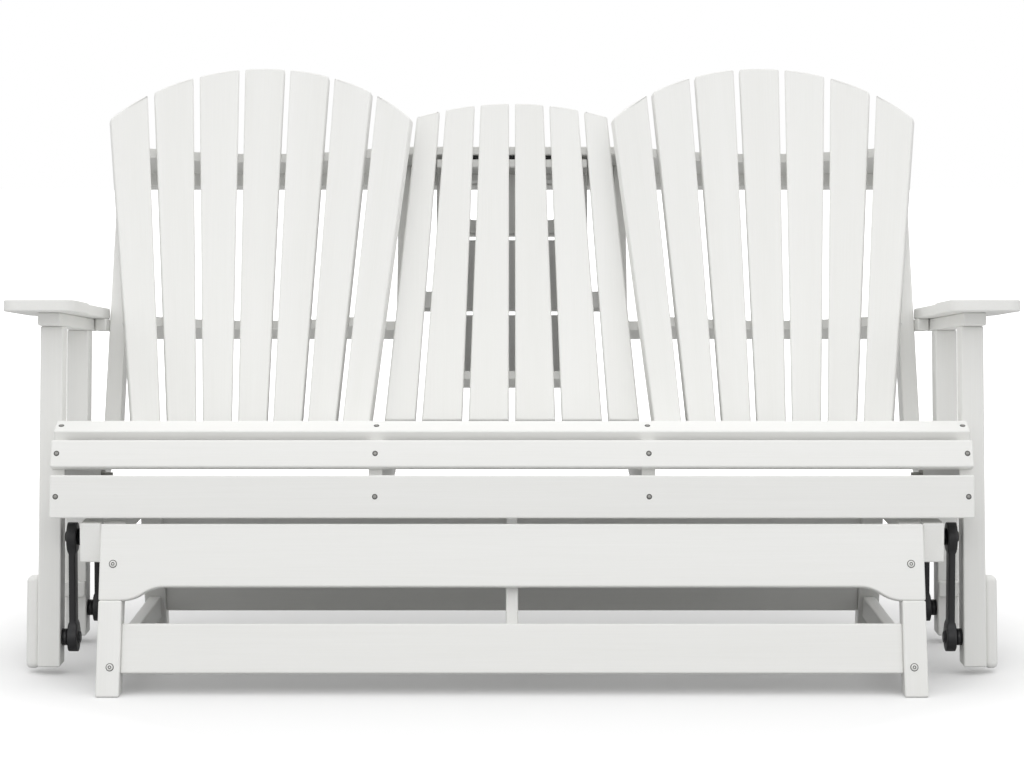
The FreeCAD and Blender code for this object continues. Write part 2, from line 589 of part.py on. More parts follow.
def seat_stringers():
    """Four boards on edge, cut in front to carry the curved run of slats."""
    start = ("Layout.front_back_d + (Layout.stringer_low - Layout.front_back_z)"
             " / tan(Sizes.front_slat_angle)")
    points = [
        (start, "Layout.stringer_low"),
        ("Sizes.stringer_rear_depth", "Layout.stringer_low"),
        ("Sizes.stringer_rear_depth", "Layout.stringer_rear_z"),
        ("Layout.pan_end_d", "Layout.pan_end_z"),
        ("Layout.pan_back_d", "Layout.pan_back_z"),
    ]
    for slat in ("crest", "nose", "front"):
        reach = f"Sizes.{slat}_slat_width"
        points.append((f"Layout.{slat}_back_d + {reach} * cos(Sizes.{slat}_slat_angle)",
                       f"Layout.{slat}_back_z + {reach} * sin(Sizes.{slat}_slat_angle)"))
        if slat != "front":
            points.append((f"Layout.{slat}_back_d", f"Layout.{slat}_back_z"))
    for name, side in SIDES:
        for where, inner in (("outer", "Layout.outer_stringer"), ("inner", "Sizes.inner_stringer")):
            x = spread(side, inner, "Sizes.stringer_thick")
            board(f"{name}_{where}_stringer", points, "Sizes.stringer_thick", side_place(x), rounding="")
    lift = "(Layout.stringer_low + Sizes.frame_bolt_lift)"
    depth = f"(Layout.rear_pivot_depth + ({lift} - Sizes.pivot_lift) * Layout.tilt_tan)"
    bolts = []
    for name, side in SIDES:
        parts = []
        for label, out, dia in (("nut", "Sizes.nut_thick", "Sizes.nut_dia"),
                                ("bolt_end", "Sizes.frame_bolt_out", "Sizes.frame_bolt_dia")):
            x = spread(side, f"(Layout.outer_stringer - {out})", out)
            parts.append(cylinder(f"{name}_{label}", f"{dia} / 2", out, side_place(x, depth, lift)))
        bolt = doc.addObject("Part::MultiFuse", f"{name}_frame_bolt")
        bolt.Shapes = parts
        bolts.append(bolt)
    group("frame_bolts", bolts)


def seat_slats():
    """Slats over the stringers, and the screws through each of them."""
    rows = [(slat, f"Layout.{slat}_back_d", f"Layout.{slat}_back_z",
             f"Sizes.{slat}_slat_angle", f"Sizes.{slat}_slat_width") for slat in ("front", "nose", "crest")]
    for number in range(PAN_SLATS):
        reach = f"{number} * Layout.pan_step"
        rows.append((f"pan_{number + 1}", f"Layout.pan_back_d + {reach} * cos(Sizes.pan_slope)",
                     f"Layout.pan_back_z - {reach} * sin(Sizes.pan_slope)",
                     "-Sizes.pan_slope", "Layout.pan_slat_width"))
    half = "Sizes.stringer_thick / 2"
    lines = [f"{sign}(Layout.outer_stringer + {half})" for sign in ("-", "")]
    lines += [f"{sign}(Sizes.inner_stringer + {half})" for sign in ("-", "")]
    bore = "Sizes.screw_dia / 2 + Sizes.bore_clearance"
    pan, screws = [], []
    for slat, depth, lift, angle, width in rows:
        middle = f"{width} / 2"
        place = flat_place("0", depth, lift, angle)
        body = board(f"{slat}_slat", rectangle("-Layout.slat_half", "0", "Layout.slat_half", width),
                     "Sizes.slat_thick", place, holes=[(x, middle, bore) for x in lines],
                     node=not slat.startswith("pan"))
        if slat.startswith("pan"):
            pan.append(body)
        for number, x in enumerate(lines):
            steps = [("0", "Sizes.slat_thick", "Sizes.screw_dia"),
                     ("Sizes.slat_thick", "Sizes.screw_head_thick", "Sizes.screw_head_dia")]
            spot = f"{place} * placement(vector({x}; {middle}; 0); rotationx(0))"
            screws.append(stepped_pin(f"{slat}_screw_{number}", steps, spot))
    group("pan_slats", pan)
    group("slat_screws", screws)


# Back


FAN_SIDE_SLATS = 3


def fan_arc(up):
    """Radius of a fan's scoop at a height on the back."""
    sag = f"(Sizes.fan_sag_foot + Layout.sag_rate * ({up} - Sizes.fan_foot_up))"
    pitch = f"(Sizes.fan_pitch_foot + Layout.pitch_rate * ({up} - Sizes.fan_foot_up))"
    return f"((({FAN_SIDE_SLATS} * {pitch}) ^ 2 + {sag} ^ 2) / (2 * {sag}))"


def scooped_rail(label, side, up, inner, tail=False, node=True):
    """A rail from the outer upright to the inner one's front, scooped for the fan."""
    scoop = fan_arc(f"({up} + Sizes.rail_thick / 2)")
    radius = f"({scoop} + Sizes.slat_thick + Sizes.rail_seat)"
    outer = "Layout.outer_upright"
    rear = "Sizes.upright_in"

    def front(x):
        return f"sqrt({radius} ^ 2 - ({x} - Sizes.fan_centre) ^ 2) - {scoop}"

    points = [(inner, front(inner)), (outer, front(outer)), (outer, rear)]
    if tail:
        end = "(Layout.inner_upright + Sizes.upright_thick / 2 + Sizes.slat_end_gap)"
        points += [(end, rear), (end, "Sizes.console_tail_in"), (inner, "Sizes.console_tail_in")]
    else:
        points.append((inner, rear))
    if side < 0:
        points = [(f"-{x}", y) for x, y in points]
    return board(label, points, "Sizes.rail_thick", back_plan_place(up), {0: (radius, -side)},
                 rounding="", node=node)


def fan(label, side):
    """Seven tapered slats on a scoop, spread towards the top and trimmed to one arc."""
    half_foot = "Sizes.fan_slat_foot / 2"
    half_tip = "Layout.fan_slat_tip / 2"
    outline = [(f"-{half_foot}", "0"), (half_foot, "0"),
               (half_tip, "Layout.fan_length"), (f"-{half_tip}", "Layout.fan_length")]
    slats = []
    for step in range(-FAN_SIDE_SLATS, FAN_SIDE_SLATS + 1):
        share = (step / FAN_SIDE_SLATS) ** 2
        depth, lift = back_point("Sizes.fan_foot_up", f"-Sizes.fan_sag_foot * {share}")
        x = f"{side} * Sizes.fan_centre + {step} * Sizes.fan_pitch_foot"
        turn = (f"rotationx(90 - Sizes.back_rake) * rotationz(-atan({step} * Layout.pitch_rate))"
                f" * rotationx(atan(Layout.sag_rate * {share})) * rotationy(-{step} * Sizes.fan_turn)")
        place = f"placement(vector({x}; {depth} - Layout.mid_depth; {lift}); {turn})"
        slats.append(board(f"{label}_{step + FAN_SIDE_SLATS + 1}", outline, "Sizes.slat_thick",
                           along(place, "-Sizes.slat_thick"), node=False))
    trim_to_arc(label, slats, f"{side} * Sizes.fan_centre", "Sizes.fan_top_up", "Sizes.fan_top_radius")


def trim_to_arc(label, slats, x, top, radius):
    """Cut a row of slats to one round top edge."""
    row = doc.addObject("Part::Compound", f"{label}_row")
    row.Links = slats
    margin = "(Sizes.fan_sag_top + 2 * Sizes.slat_thick)"
    disc = cylinder(f"{label}_arc", radius, f"2 * {margin}",
                    back_face_place(margin, x, f"{top} - {radius}"))
    trimmed = doc.addObject("Part::Common", label)
    trimmed.Base = row
    trimmed.Tool = disc
    nodes[label] = trimmed


def stiffener(label, x, length, low, high):
    """A flat rail behind the outer upright or between the inner ones."""
    outline = rectangle("0", low, length, high)
    return board(label, outline, "Sizes.stiffener_thick",
                 back_face_place("Sizes.upright_in + Sizes.stiffener_thick", x), node=False)


def back_frame():
    """Uprights, scooped rails and stiffeners, and the two fans on them."""
    uprights = (("outer", "Layout.outer_upright", "Sizes.outer_upright_thick",
                 rectangle("Sizes.outer_upright_in", "Sizes.upright_low", "Sizes.upright_in", "Sizes.upright_high")),
                ("inner", "Layout.inner_upright", "Sizes.upright_thick",
                 rectangle("Sizes.upright_in", "Sizes.upright_low", "Layout.upright_back", "Sizes.upright_high")))
    low_rails = []
    stiffeners = [stiffener("middle_stiffener", "-Layout.inner_upright", "2 * Layout.inner_upright",
                            "Sizes.top_rail_up - Sizes.stiffener_drop",
                            "Sizes.top_rail_up + Sizes.rail_thick")]
    clear = "(Layout.outer_stringer - Sizes.inner_stringer)"
    top_inner = "(Layout.inner_upright + Sizes.upright_thick / 2 + Sizes.slat_end_gap)"
    arm_inner = "(Sizes.console_low + 2 * Sizes.slat_end_gap)"
    low_inner = "(Sizes.inner_stringer + Sizes.stringer_thick + 6 * Sizes.slat_end_gap)"
    for name, side in SIDES:
        for where, start, thick, outline in uprights:
            board(f"{name}_{where}_upright", outline, thick, back_side_place(spread(side, start, thick)))
        scooped_rail(f"{name}_top_rail", side, "Layout.fan_rail_up", top_inner)
        scooped_rail(f"{name}_arm_rail", side, "Sizes.arm_rail_up", arm_inner, tail=True)
        low_rails.append(scooped_rail(f"{name}_low_rail", side, "Sizes.low_rail_up", low_inner, node=False))
        stiffeners.append(stiffener(f"{name}_stiffener", spread(side, "Sizes.inner_stringer", clear), clear,
                                    "Sizes.top_rail_up - Sizes.stiffener_drop",
                                    "Layout.fan_rail_up + Sizes.rail_thick"))
        fan(f"{name}_fan_slats", side)
    group("low_rails", low_rails)
    group("stiffeners", stiffeners)
    half = "(Layout.inner_upright + Sizes.upright_thick / 2)"
    board("middle_rail", rectangle(f"-{half}", "Sizes.slat_thick + Sizes.console_rest_gap",
                                   half, "Sizes.upright_in"),
          "Sizes.rail_thick", back_plan_place("Sizes.top_rail_up"))
    board("stop_pad", rectangle("-Sizes.pad_half", "Sizes.pad_in", "Sizes.pad_half",
                                "Sizes.pad_in + Sizes.pad_depth"),
          "Sizes.pad_height", back_plan_place("Sizes.top_rail_up - Sizes.pad_height"), rounding="")


def console_brackets():
    """Steel plates on the inner uprights, each with the pin that the console turns on."""
    nose = "Sizes.bracket_nose"
    outline = [
        (f"Sizes.hinge_in - {nose}", f"Sizes.hinge_up - 0.75 * {nose}"),
        (f"Sizes.hinge_in + 0.6 * {nose}", f"Sizes.hinge_up - 0.75 * {nose}"),
        ("Sizes.upright_in", "Sizes.bracket_low_up"), ("Sizes.bracket_back", "Sizes.bracket_low_up"),
        ("Sizes.bracket_back", "Sizes.bracket_high_up"), ("Sizes.upright_in", "Sizes.bracket_high_up"),
        (f"Sizes.hinge_in - {nose}", f"Sizes.hinge_up + {nose}"),
    ]
    depth, lift = back_point("Sizes.hinge_up", "Sizes.hinge_in")
    reach = "Sizes.hinge_reach"
    brackets = []
    for name, side in SIDES:
        plate = board(f"{name}_bracket_plate", outline, "Sizes.bracket_thick",
                      back_side_place(spread(side, "Sizes.inner_stringer", "Sizes.bracket_thick")),
                      rounding="", node=False)
        pin = cylinder(f"{name}_bracket_pin", "Sizes.hinge_dia / 2", reach,
                       side_place(spread(side, f"(Sizes.inner_stringer - {reach})", reach), depth, lift))
        bracket = doc.addObject("Part::MultiFuse", f"{name}_bracket")
        bracket.Shapes = [plate, pin]
        brackets.append(bracket)
    group("console_brackets", brackets)


# Console


def console_slats():
    """Six slats that narrow towards the top, mirrored about the middle."""
    rows = []
    for up in ("Sizes.console_foot_up", "Sizes.console_top_up"):
        half = f"(Sizes.console_low + Layout.console_rate * {up})"
        outer = f"(Sizes.console_outer_low + Layout.outer_rate * {up})"
        inner = f"(({half} - {outer} - 2.5 * Sizes.console_gap) / 2)"
        first = "Sizes.console_gap / 2"
        rows.append((up, [(first, f"({first} + {inner})"),
                          (f"({first} + {inner} + Sizes.console_gap)", f"({half} - {outer} - Sizes.console_gap)"),
                          (f"({half} - {outer})", half)]))
    (low, low_edges), (high, high_edges) = rows
    slats = []
    for name, side in SIDES:
        for number, (feet, tips) in enumerate(zip(low_edges, high_edges), start=1):
            points = [(feet[0], low), (feet[1], low), (tips[1], high), (tips[0], high)]
            if side < 0:
                points = [(f"-({x})", y) for x, y in points]
            slats.append(board(f"{name}_console_slat_{number}", points, "Sizes.slat_thick",
                               back_face_place("Sizes.slat_thick"), node=False))
    trim_to_arc("console_slats", slats, "0", "Sizes.console_top_up", "Sizes.console_top_radius")


def console_stiles():
    """Two stiles behind the outer slats, bored for a running fit on the bracket pins."""
    rows = (("Sizes.stile_foot", "Sizes.stile_foot_up"), ("Sizes.stile_top", "Layout.stile_top_up"))
    half = "Sizes.stile_width / 2"
    (foot, low), (top, high) = rows
    outline = [(f"{foot} - {half}", low), (f"{foot} + {half}", low),
               (f"{top} + {half}", high), (f"{top} - {half}", high)]
    stiles = []
    for name, side in SIDES:
        points = outline if side > 0 else [(f"-({x})", y) for x, y in outline]
        stiles.append(board(f"{name}_stile", points, "Sizes.stile_depth",
                            back_face_place("Layout.stile_back"), node=False))
    pair = doc.addObject("Part::Compound", "stile_pair")
    pair.Links = stiles
    depth, lift = back_point("Sizes.hinge_up", "Sizes.hinge_in")
    bore = cylinder("stile_bores", "Sizes.hinge_dia / 2 + Sizes.bore_clearance", "2 * Sizes.console_low",
                    side_place("-Sizes.console_low", depth, lift))
    bored = doc.addObject("Part::Cut", "console_stiles")
    bored.Base = pair
    bored.Tool = bore
    nodes["console_stiles"] = bored


def console_cleats():
    """Cleats and battens between the slats and the table boards, and bridges from them to the stiles."""
    half = "Sizes.table_half"
    lower_top = "(Sizes.lower_cleat_up + Sizes.lower_cleat_height)"
    batten_end = "(Sizes.batten_out + Sizes.batten_width)"
    low, high = "Sizes.bridge_up", "(Sizes.bridge_up + Sizes.bridge_height)"
    inset = "(Sizes.stile_width / 2 + Sizes.cleat_fit)"
    ends = [f"(Sizes.stile_foot + Layout.stile_rate * ({up} - Sizes.stile_foot_up) - {inset})"
            for up in (low, high)]
    full, thin = "Sizes.batten_thick", "Sizes.bridge_thick"
    batten = rectangle("Sizes.batten_out", lower_top, batten_end, "Layout.upper_cleat_up")
    bridge = [(batten_end, low), (ends[0], low), (ends[1], high), (batten_end, high)]
    pieces = [
        ("lower_cleat", rectangle(f"-{half}", "Sizes.lower_cleat_up", half, lower_top), full),
        ("upper_cleat", rectangle(f"-{half}", "Layout.upper_cleat_up", half, "Layout.stile_top_up"), full),
    ]
    for name, side in SIDES:
        for label, outline, thick in (("batten", batten, full), ("bridge", bridge, thin)):
            points = outline if side > 0 else [(f"-({x})", y) for x, y in outline]
            pieces.append((f"{name}_{label}", points, thick))
    group("console_cleats", [board(label, points, thick, back_face_place("Layout.table_in"), node=False)
                             for label, points, thick in pieces])


def console_table():
    """Three table boards on the rear of the console, the top one with two cup holes."""
    half = "Sizes.table_half"
    for number, name in enumerate(("low", "middle", "cup")):
        low = f"(Sizes.table_up + {number} * Layout.table_step)"
        high = f"{low} + Layout.table_board"
        cups = []
        if name == "cup":
            cups = [(f"{sign}Sizes.cup_spread", f"{high} - Sizes.cup_from_top", "Sizes.cup_dia / 2")
                    for sign in ("-", "")]
        board(f"{name}_table_board", rectangle(f"-{half}", low, half, high), "Sizes.table_thick",
              back_face_place("Layout.table_back"), holes=cups)


base_frame()
swing_links()
seat_sides()
seat_stringers()
seat_slats()
back_frame()
console_brackets()
console_slats()
console_stiles()
console_cleats()
console_table()
doc.recompute()

for item in doc.Objects:
    if "Invalid" in item.State or "Error" in item.State:
        raise RuntimeError(f"{item.Label} failed: {item.State}")
for label, node in nodes.items():
    if node.Shape.isNull() or not node.Shape.isValid() or not node.Shape.Solids:
        raise RuntimeError(f"{label} has no valid solid")

os.makedirs("parts", exist_ok=True)
for label, node in nodes.items():
    node.Shape.exportStep(f"parts/{label}.step")
print(f"{len(nodes)} nodes, {sum(len(node.Shape.Solids) for node in nodes.values())} solids")
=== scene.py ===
"""Looks of a two-seat porch glider of white poly lumber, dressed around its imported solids.

The row frame is in metres: X to the viewer's right, Y to the back, Z up from the floor.
Back coordinates are (x, up, front): along X, up the raked back, and square out of its front.
"""
import logging
from dataclasses import dataclass, field
from enum import Enum

import bpy
import numpy as np
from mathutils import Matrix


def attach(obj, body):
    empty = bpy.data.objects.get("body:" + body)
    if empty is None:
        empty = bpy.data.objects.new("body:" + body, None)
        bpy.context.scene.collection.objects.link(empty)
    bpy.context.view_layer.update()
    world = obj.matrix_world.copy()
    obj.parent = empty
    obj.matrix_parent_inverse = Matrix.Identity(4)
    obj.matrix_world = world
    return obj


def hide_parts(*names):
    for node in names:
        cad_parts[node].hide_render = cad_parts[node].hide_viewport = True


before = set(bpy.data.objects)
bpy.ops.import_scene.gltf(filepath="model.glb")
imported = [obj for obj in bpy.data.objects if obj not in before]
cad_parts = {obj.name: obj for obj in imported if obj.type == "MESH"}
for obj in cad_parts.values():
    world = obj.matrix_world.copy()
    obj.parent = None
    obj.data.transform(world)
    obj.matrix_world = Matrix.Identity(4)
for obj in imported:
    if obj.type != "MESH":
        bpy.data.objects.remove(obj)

LOG = logging.getLogger("glider")
MM = 0.001
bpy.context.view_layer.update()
SIDES = (("left", -1), ("right", 1))
# Mesh attribute with a point's place in its own board, which the grain follows
GRAIN_SPACE = "grain_space"
# Points on each rounded corner of a slat's top edge
CORNER_POINTS = 5
# The photograph's camera, in pixels, millimetres, metres and degrees; the shift is a share of the width
FOCAL_PX = 2614
PHOTO_WIDTH_PX = 1024
SENSOR_MM = 36.0
CAMERA_PLACE = (0.0, -4.5517, 0.9245)
CAMERA_TILT = 3.0
CAMERA_SHIFT = -0.124
CAMERA_SIGHT = 200.0
# Soft boxes: name, place and aim in metres, side in metres, watts
LAMPS = (("left_box", (-3.3, -3.0, 1.9), (0, 0, 0.6), 2.4, 15.0),
         ("right_box", (3.3, -3.0, 1.9), (0, 0, 0.6), 2.4, 13.0),
         ("front_box", (0, -4.8, 2.5), (0, 0, 0.7), 2.0, 25.0),
         ("top_box", (0, -1.0, 4.2), (0, 0, 0.4), 3.0, 8.0))


class Grain(Enum):
    """Which way a board's extrusion lines run: a turn about X in degrees, and the axis they then follow."""

    ACROSS = (0.0, "X")
    DEEP = (0.0, "Y")
    LEG_FRONT = (15.0, "Z")
    LEG_REAR = (-15.0, "Z")
    POST = (6.0, "Z")
    ARM = (6.0, "Y")
    BACK = (23.0, "Z")
    OWN = (0.0, "OWN")


def linear(hex_colour: str) -> tuple[float, float, float, float]:
    """Turn an sRGB hex colour into linear RGBA.

    Args:
        hex_colour: Six hex digits, with or without a leading hash.

    Returns:
        Linear red, green, blue and an alpha of one.
    """
    digits = hex_colour.lstrip("#")
    srgb = np.array([int(digits[i:i + 2], 16) for i in (0, 2, 4)]) / 255.0
    # The sRGB curve: a straight foot, then a power of 2.4
    straight = np.where(srgb <= 0.04045, srgb / 12.92, ((srgb + 0.055) / 1.055) ** 2.4)
    return (*map(float, straight), 1.0)


def add_node(tree: bpy.types.NodeTree, kind: str, settings: dict | None = None,
             links: dict | None = None) -> bpy.types.Node:
    """Add a shader node with its settings and incoming links.

    Args:
        tree: Node tree to add to.
        kind: Node type name.
        settings: Attribute or input-socket values by name or number.
        links: Output sockets by the name or number of the input they feed.

    Returns:
        The new node.
    """
    node = tree.nodes.new(kind)
    for name, value in (settings or {}).items():
        if isinstance(name, str) and hasattr(node, name):
            setattr(node, name, value)
        else:
            node.inputs[name].default_value = value
    for name, output in (links or {}).items():
        tree.links.new(output, node.inputs[name])
    return node


def blank_material(name: str) -> tuple[bpy.types.Material, bpy.types.NodeTree]:
    """Make an empty node material.

    Args:
        name: Name of the material.

    Returns:
        The material and its node tree.
    """
    material = bpy.data.materials.new(name)
    material.use_nodes = True
    material.node_tree.nodes.clear()
    return material, material.node_tree


@dataclass(frozen=True)
class PolyLumber:
    """Extruded, foamed HDPE board: white, satin, with faint drawn lines along its length."""

    colour: str = "F1F1EF"
    shade: str = "EBEBE8"
    line_mm: float = 2.4
    line_stretch: float = 60.0
    blotch_mm: float = 70.0
    pore_mm: float = 0.9
    line_roughness: float = 0.6
    line_share: float = 0.6
    pore_share: float = 0.35
    tone_range: tuple = (0.5, 1.1)
    line_range: tuple = (0.3, 0.7)
    roughness: tuple = (0.41, 0.53)
    bump: float = 0.14
    bump_mm: float = 0.4
    ior: float = 1.54

    def build(self, grain: Grain) -> bpy.types.Material:
        """Make the material for one grain direction.

        Args:
            grain: Direction of the drawn lines.

        Returns:
            The finished material.
        """
        material, tree = blank_material(f"HDPE_poly_lumber_{grain.name.lower()}")
        turn, axis = grain.value
        if axis == "OWN":
            own = add_node(tree, "ShaderNodeAttribute", {"attribute_name": GRAIN_SPACE})
            source, axis = own.outputs["Vector"], "Y"
        else:
            coords = add_node(tree, "ShaderNodeTexCoord").outputs["Object"]
            source = add_node(tree, "ShaderNodeMapping", {"Rotation": (np.radians(turn), 0, 0)},
                              {"Vector": coords}).outputs["Vector"]
        # One line is line_mm wide and line_stretch times as long, so the noise is squeezed along the board.
        squeeze = tuple(1 / self.line_stretch if letter == axis else 1.0 for letter in "XYZ")
        drawn = add_node(tree, "ShaderNodeMapping", {"Scale": squeeze}, {"Vector": source}).outputs["Vector"]
        lines = add_node(tree, "ShaderNodeTexNoise", {"Scale": 1 / (self.line_mm * MM), "Detail": 3.0,
                                                      "Roughness": self.line_roughness},
                         {"Vector": drawn}).outputs["Fac"]
        blotch = add_node(tree, "ShaderNodeTexNoise", {"Scale": 1 / (self.blotch_mm * MM), "Detail": 2.0},
                          {"Vector": drawn}).outputs["Fac"]
        pores = add_node(tree, "ShaderNodeTexNoise", {"Scale": 1 / (self.pore_mm * MM), "Detail": 1.0},
                         {"Vector": source}).outputs["Fac"]
        both = add_node(tree, "ShaderNodeMath", {"operation": "MULTIPLY_ADD", 1: self.line_share},
                        {0: lines, 2: blotch}).outputs[0]
        tone = add_node(tree, "ShaderNodeMapRange", {"From Min": self.tone_range[0],
                                                     "From Max": self.tone_range[1]}, {"Value": both})
        ramp = add_node(tree, "ShaderNodeMix", {"data_type": "RGBA", 6: linear(self.shade),
                                                7: linear(self.colour)}, {0: tone.outputs[0]})
        rough = add_node(tree, "ShaderNodeMapRange", {"From Min": self.line_range[0],
                                                      "From Max": self.line_range[1],
                                                      "To Min": self.roughness[0],
                                                      "To Max": self.roughness[1]}, {"Value": lines})
        relief = add_node(tree, "ShaderNodeMath", {"operation": "MULTIPLY_ADD", 1: self.pore_share},
                          {0: pores, 2: lines}).outputs[0]
        bump = add_node(tree, "ShaderNodeBump", {"Strength": self.bump, "Distance": self.bump_mm * MM},
                        {"Height": relief})
        shader = add_node(tree, "ShaderNodeBsdfPrincipled", {"IOR": self.ior},
                          {"Base Color": ramp.outputs[2], "Roughness": rough.outputs[0],
                           "Normal": bump.outputs[0]})
        add_node(tree, "ShaderNodeOutputMaterial", {}, {"Surface": shader.outputs[0]})
        return material


@dataclass(frozen=True)
class Hardware:
    """A metal or rubber finish, or a dark painted shade, with a fine mottled surface."""

    name: str
    colour: str
    fleck: str
    grit_mm: float
    roughness: float
    metallic: float = 0.0
    bump: float = 0.15
    bump_mm: float = 0.3
    gloss_spread: tuple = (-0.08, 0.1)
    ior: float = 1.5

    def build(self) -> bpy.types.Material:
        """Make the material: flecked colour, uneven gloss and a fine bump from one noise.

        Returns:
            The finished material.
        """
        material, tree = blank_material(self.name)
        coords = add_node(tree, "ShaderNodeTexCoord").outputs["Object"]
        grit = add_node(tree, "ShaderNodeTexNoise", {"Scale": 1 / (self.grit_mm * MM), "Detail": 4.0},
                        {"Vector": coords}).outputs["Fac"]
        mix = add_node(tree, "ShaderNodeMix", {"data_type": "RGBA", 6: linear(self.colour),
                                               7: linear(self.fleck)}, {0: grit})
        rough = add_node(tree, "ShaderNodeMapRange", {"To Min": self.roughness + self.gloss_spread[0],
                                                      "To Max": self.roughness + self.gloss_spread[1]},
                         {"Value": grit})
        bump = add_node(tree, "ShaderNodeBump", {"Strength": self.bump, "Distance": self.bump_mm * MM},
                        {"Height": grit})
        settings = {"Metallic": self.metallic}
        if not self.metallic:
            settings["IOR"] = self.ior
        shader = add_node(tree, "ShaderNodeBsdfPrincipled", settings,
                          {"Base Color": mix.outputs[2], "Roughness": rough.outputs[0],
                           "Normal": bump.outputs[0]})
        add_node(tree, "ShaderNodeOutputMaterial", {}, {"Surface": shader.outputs[0]})
        return material


# Powder coat on steel: near black, satin, with a slight orange peel.
POWDER_COAT = Hardware("powder_coated_steel_black", "161618", "1F1F21", 1.2, 0.44)
# Black-oxide bolts, nuts and spacers: darker than the links, with an oiled sheen.
BLACK_OXIDE = Hardware("black_oxide_steel", "1E1E20", "2B2B2D", 0.9, 0.34, bump=0.1)
# Stainless screws: grey, a little uneven from the heading die.
STAINLESS = Hardware("stainless_steel", "8F8E8B", "A9A8A4", 1.0, 0.36, metallic=1.0, bump=0.08)
# Painted shade: a dark matt disc that stands for the shaded wall of a countersink around a screw.
COUNTERSINK_SHADE = Hardware("painted_countersink_shade", "4E4E4D", "60605E", 0.9, 0.62)
# White powder coat on the hinge plates and the base's screws, with a slight orange peel.
WHITE_COAT = Hardware("powder_coated_steel_white", "E2E2DF", "EAEAE7", 1.2, 0.4)
# Moulded EPDM rubber: matt black with a dusty bloom.
RUBBER = Hardware("EPDM_rubber", "1B1B1B", "262626", 0.8, 0.75)


# Surfaces


def inset_outline(outline: np.ndarray, distance: float) -> np.ndarray:
    """Move a closed anticlockwise outline inwards by a distance, with mitred corners.

    Args:
        outline: Points, one row each.
        distance: How far each edge moves inwards.

    Returns:
        As many points, where neighbouring moved edges meet.
    """
    edge = np.roll(outline, -1, axis=0) - outline
    edge /= np.linalg.norm(edge, axis=1, keepdims=True)
    inward = np.column_stack((-edge[:, 1], edge[:, 0]))
    before = np.roll(inward, 1, axis=0)
    share = 1 + np.sum(before * inward, axis=1, keepdims=True)
    return outline + distance * (before + inward) / share


def rounded_plate(outline: np.ndarray, low: float, high: float, radius: float,
                  steps: int = 4) -> tuple[np.ndarray, list]:
    """A flat board with rounded edges: its outline is carried through a quarter round, up and back.

    Args:
        outline: Closed anticlockwise outline, one row per point.
        low: Height of the rear face.
        high: Height of the front face.
        radius: Radius of the edges.
        steps: Divisions of each quarter round.

    Returns:
        Vertices and faces.
    """
    angle = np.linspace(0, np.pi / 2, steps + 1)
    inset = radius * (1 - np.sin(angle))
    rise = radius * (1 - np.cos(angle))
    levels = np.concatenate((np.column_stack((inset, low + rise)),
                             np.column_stack((inset, high - rise))[::-1]))
    rings = [np.column_stack((inset_outline(outline, step), np.full(len(outline), height)))
             for step, height in levels]
    return np.concatenate(rings), tube_faces(len(levels), len(outline))


def tube_faces(rows: int, columns: int) -> list:
    """Faces of a tube of closed rings, with a flat cap at each end.

    Args:
        rows: Number of rings.
        columns: Points in each ring.

    Returns:
        Vertex numbers of each face.
    """
    start = np.arange(rows - 1)[:, None] * columns
    here = np.arange(columns)[None, :]
    there = np.roll(np.arange(columns), -1)[None, :]
    quads = np.stack((start + here, start + there, start + there + columns, start + here + columns), axis=-1)
    first_cap = list(range(columns))[::-1]
    last_cap = list(range((rows - 1) * columns, rows * columns))
    return quads.reshape(-1, 4).tolist() + [first_cap, last_cap]


def turned(profile: list | tuple, segments: int = 36) -> tuple[np.ndarray, list]:
    """A turned piece along Z: each row of the profile is a height, a radius and a number of flats.

    With flats, the radius is half the width across them, so the ring is a polygon:
    radius / cos(angle from the nearest flat's middle). With none, it is a circle.

    Args:
        profile: Rows of height, radius and flats, from the bottom up.
        segments: Points in each ring.

    Returns:
        Vertices and faces.
    """
    angle = np.arange(segments) * 2 * np.pi / segments
    rings = []
    for height, radius, flats in profile:
        reach = np.full(segments, radius)
        if flats:
            sector = 2 * np.pi / flats
            reach = radius / np.cos((angle + sector / 2) % sector - sector / 2)
        rings.append(np.column_stack((reach * np.cos(angle), reach * np.sin(angle),
                                      np.full(segments, height))))
    return np.concatenate(rings), tube_faces(len(profile), segments)


def put(parts: list, name: str, body: str, material: bpy.types.Material,
        stands_for: tuple = (), spaces: list | None = None) -> None:
    """Join vertex and face arrays into one piece that rides on a body.

    Args:
        parts: Pairs of vertices in the row frame and faces.
        name: Name of the piece.
        body: Name of the body that it rides on.
        material: Finish of the piece.
        stands_for: Nodes that the piece replaces.
        spaces: Coordinates of each part in its own board, for the grain.
    """
    counts = np.cumsum([0] + [len(points) for points, _ in parts])
    points = np.concatenate([points for points, _ in parts])
    faces = [[int(index) + int(offset) for index in face]
             for (_, part), offset in zip(parts, counts) for face in part]
    mesh = bpy.data.meshes.new(name)
    mesh.from_pydata(points.tolist(), [], faces)
    # Only the caps have more than four corners, and they stay flat.
    mesh.polygons.foreach_set("use_smooth", np.array([len(face) == 4 for face in faces]))
    if spaces is not None:
        own = mesh.attributes.new(GRAIN_SPACE, "FLOAT_VECTOR", "POINT")
        own.data.foreach_set("vector", np.concatenate(spaces).astype(np.float32).ravel())
    mesh.materials.append(material)
    mesh.validate()
    mesh.update()
    piece = bpy.data.objects.new(name, mesh)
    bpy.context.scene.collection.objects.link(piece)
    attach(piece, body)
    if stands_for:
        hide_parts(*stands_for)
    LOG.info("%s rides on %s, %d faces", name, body, len(faces))


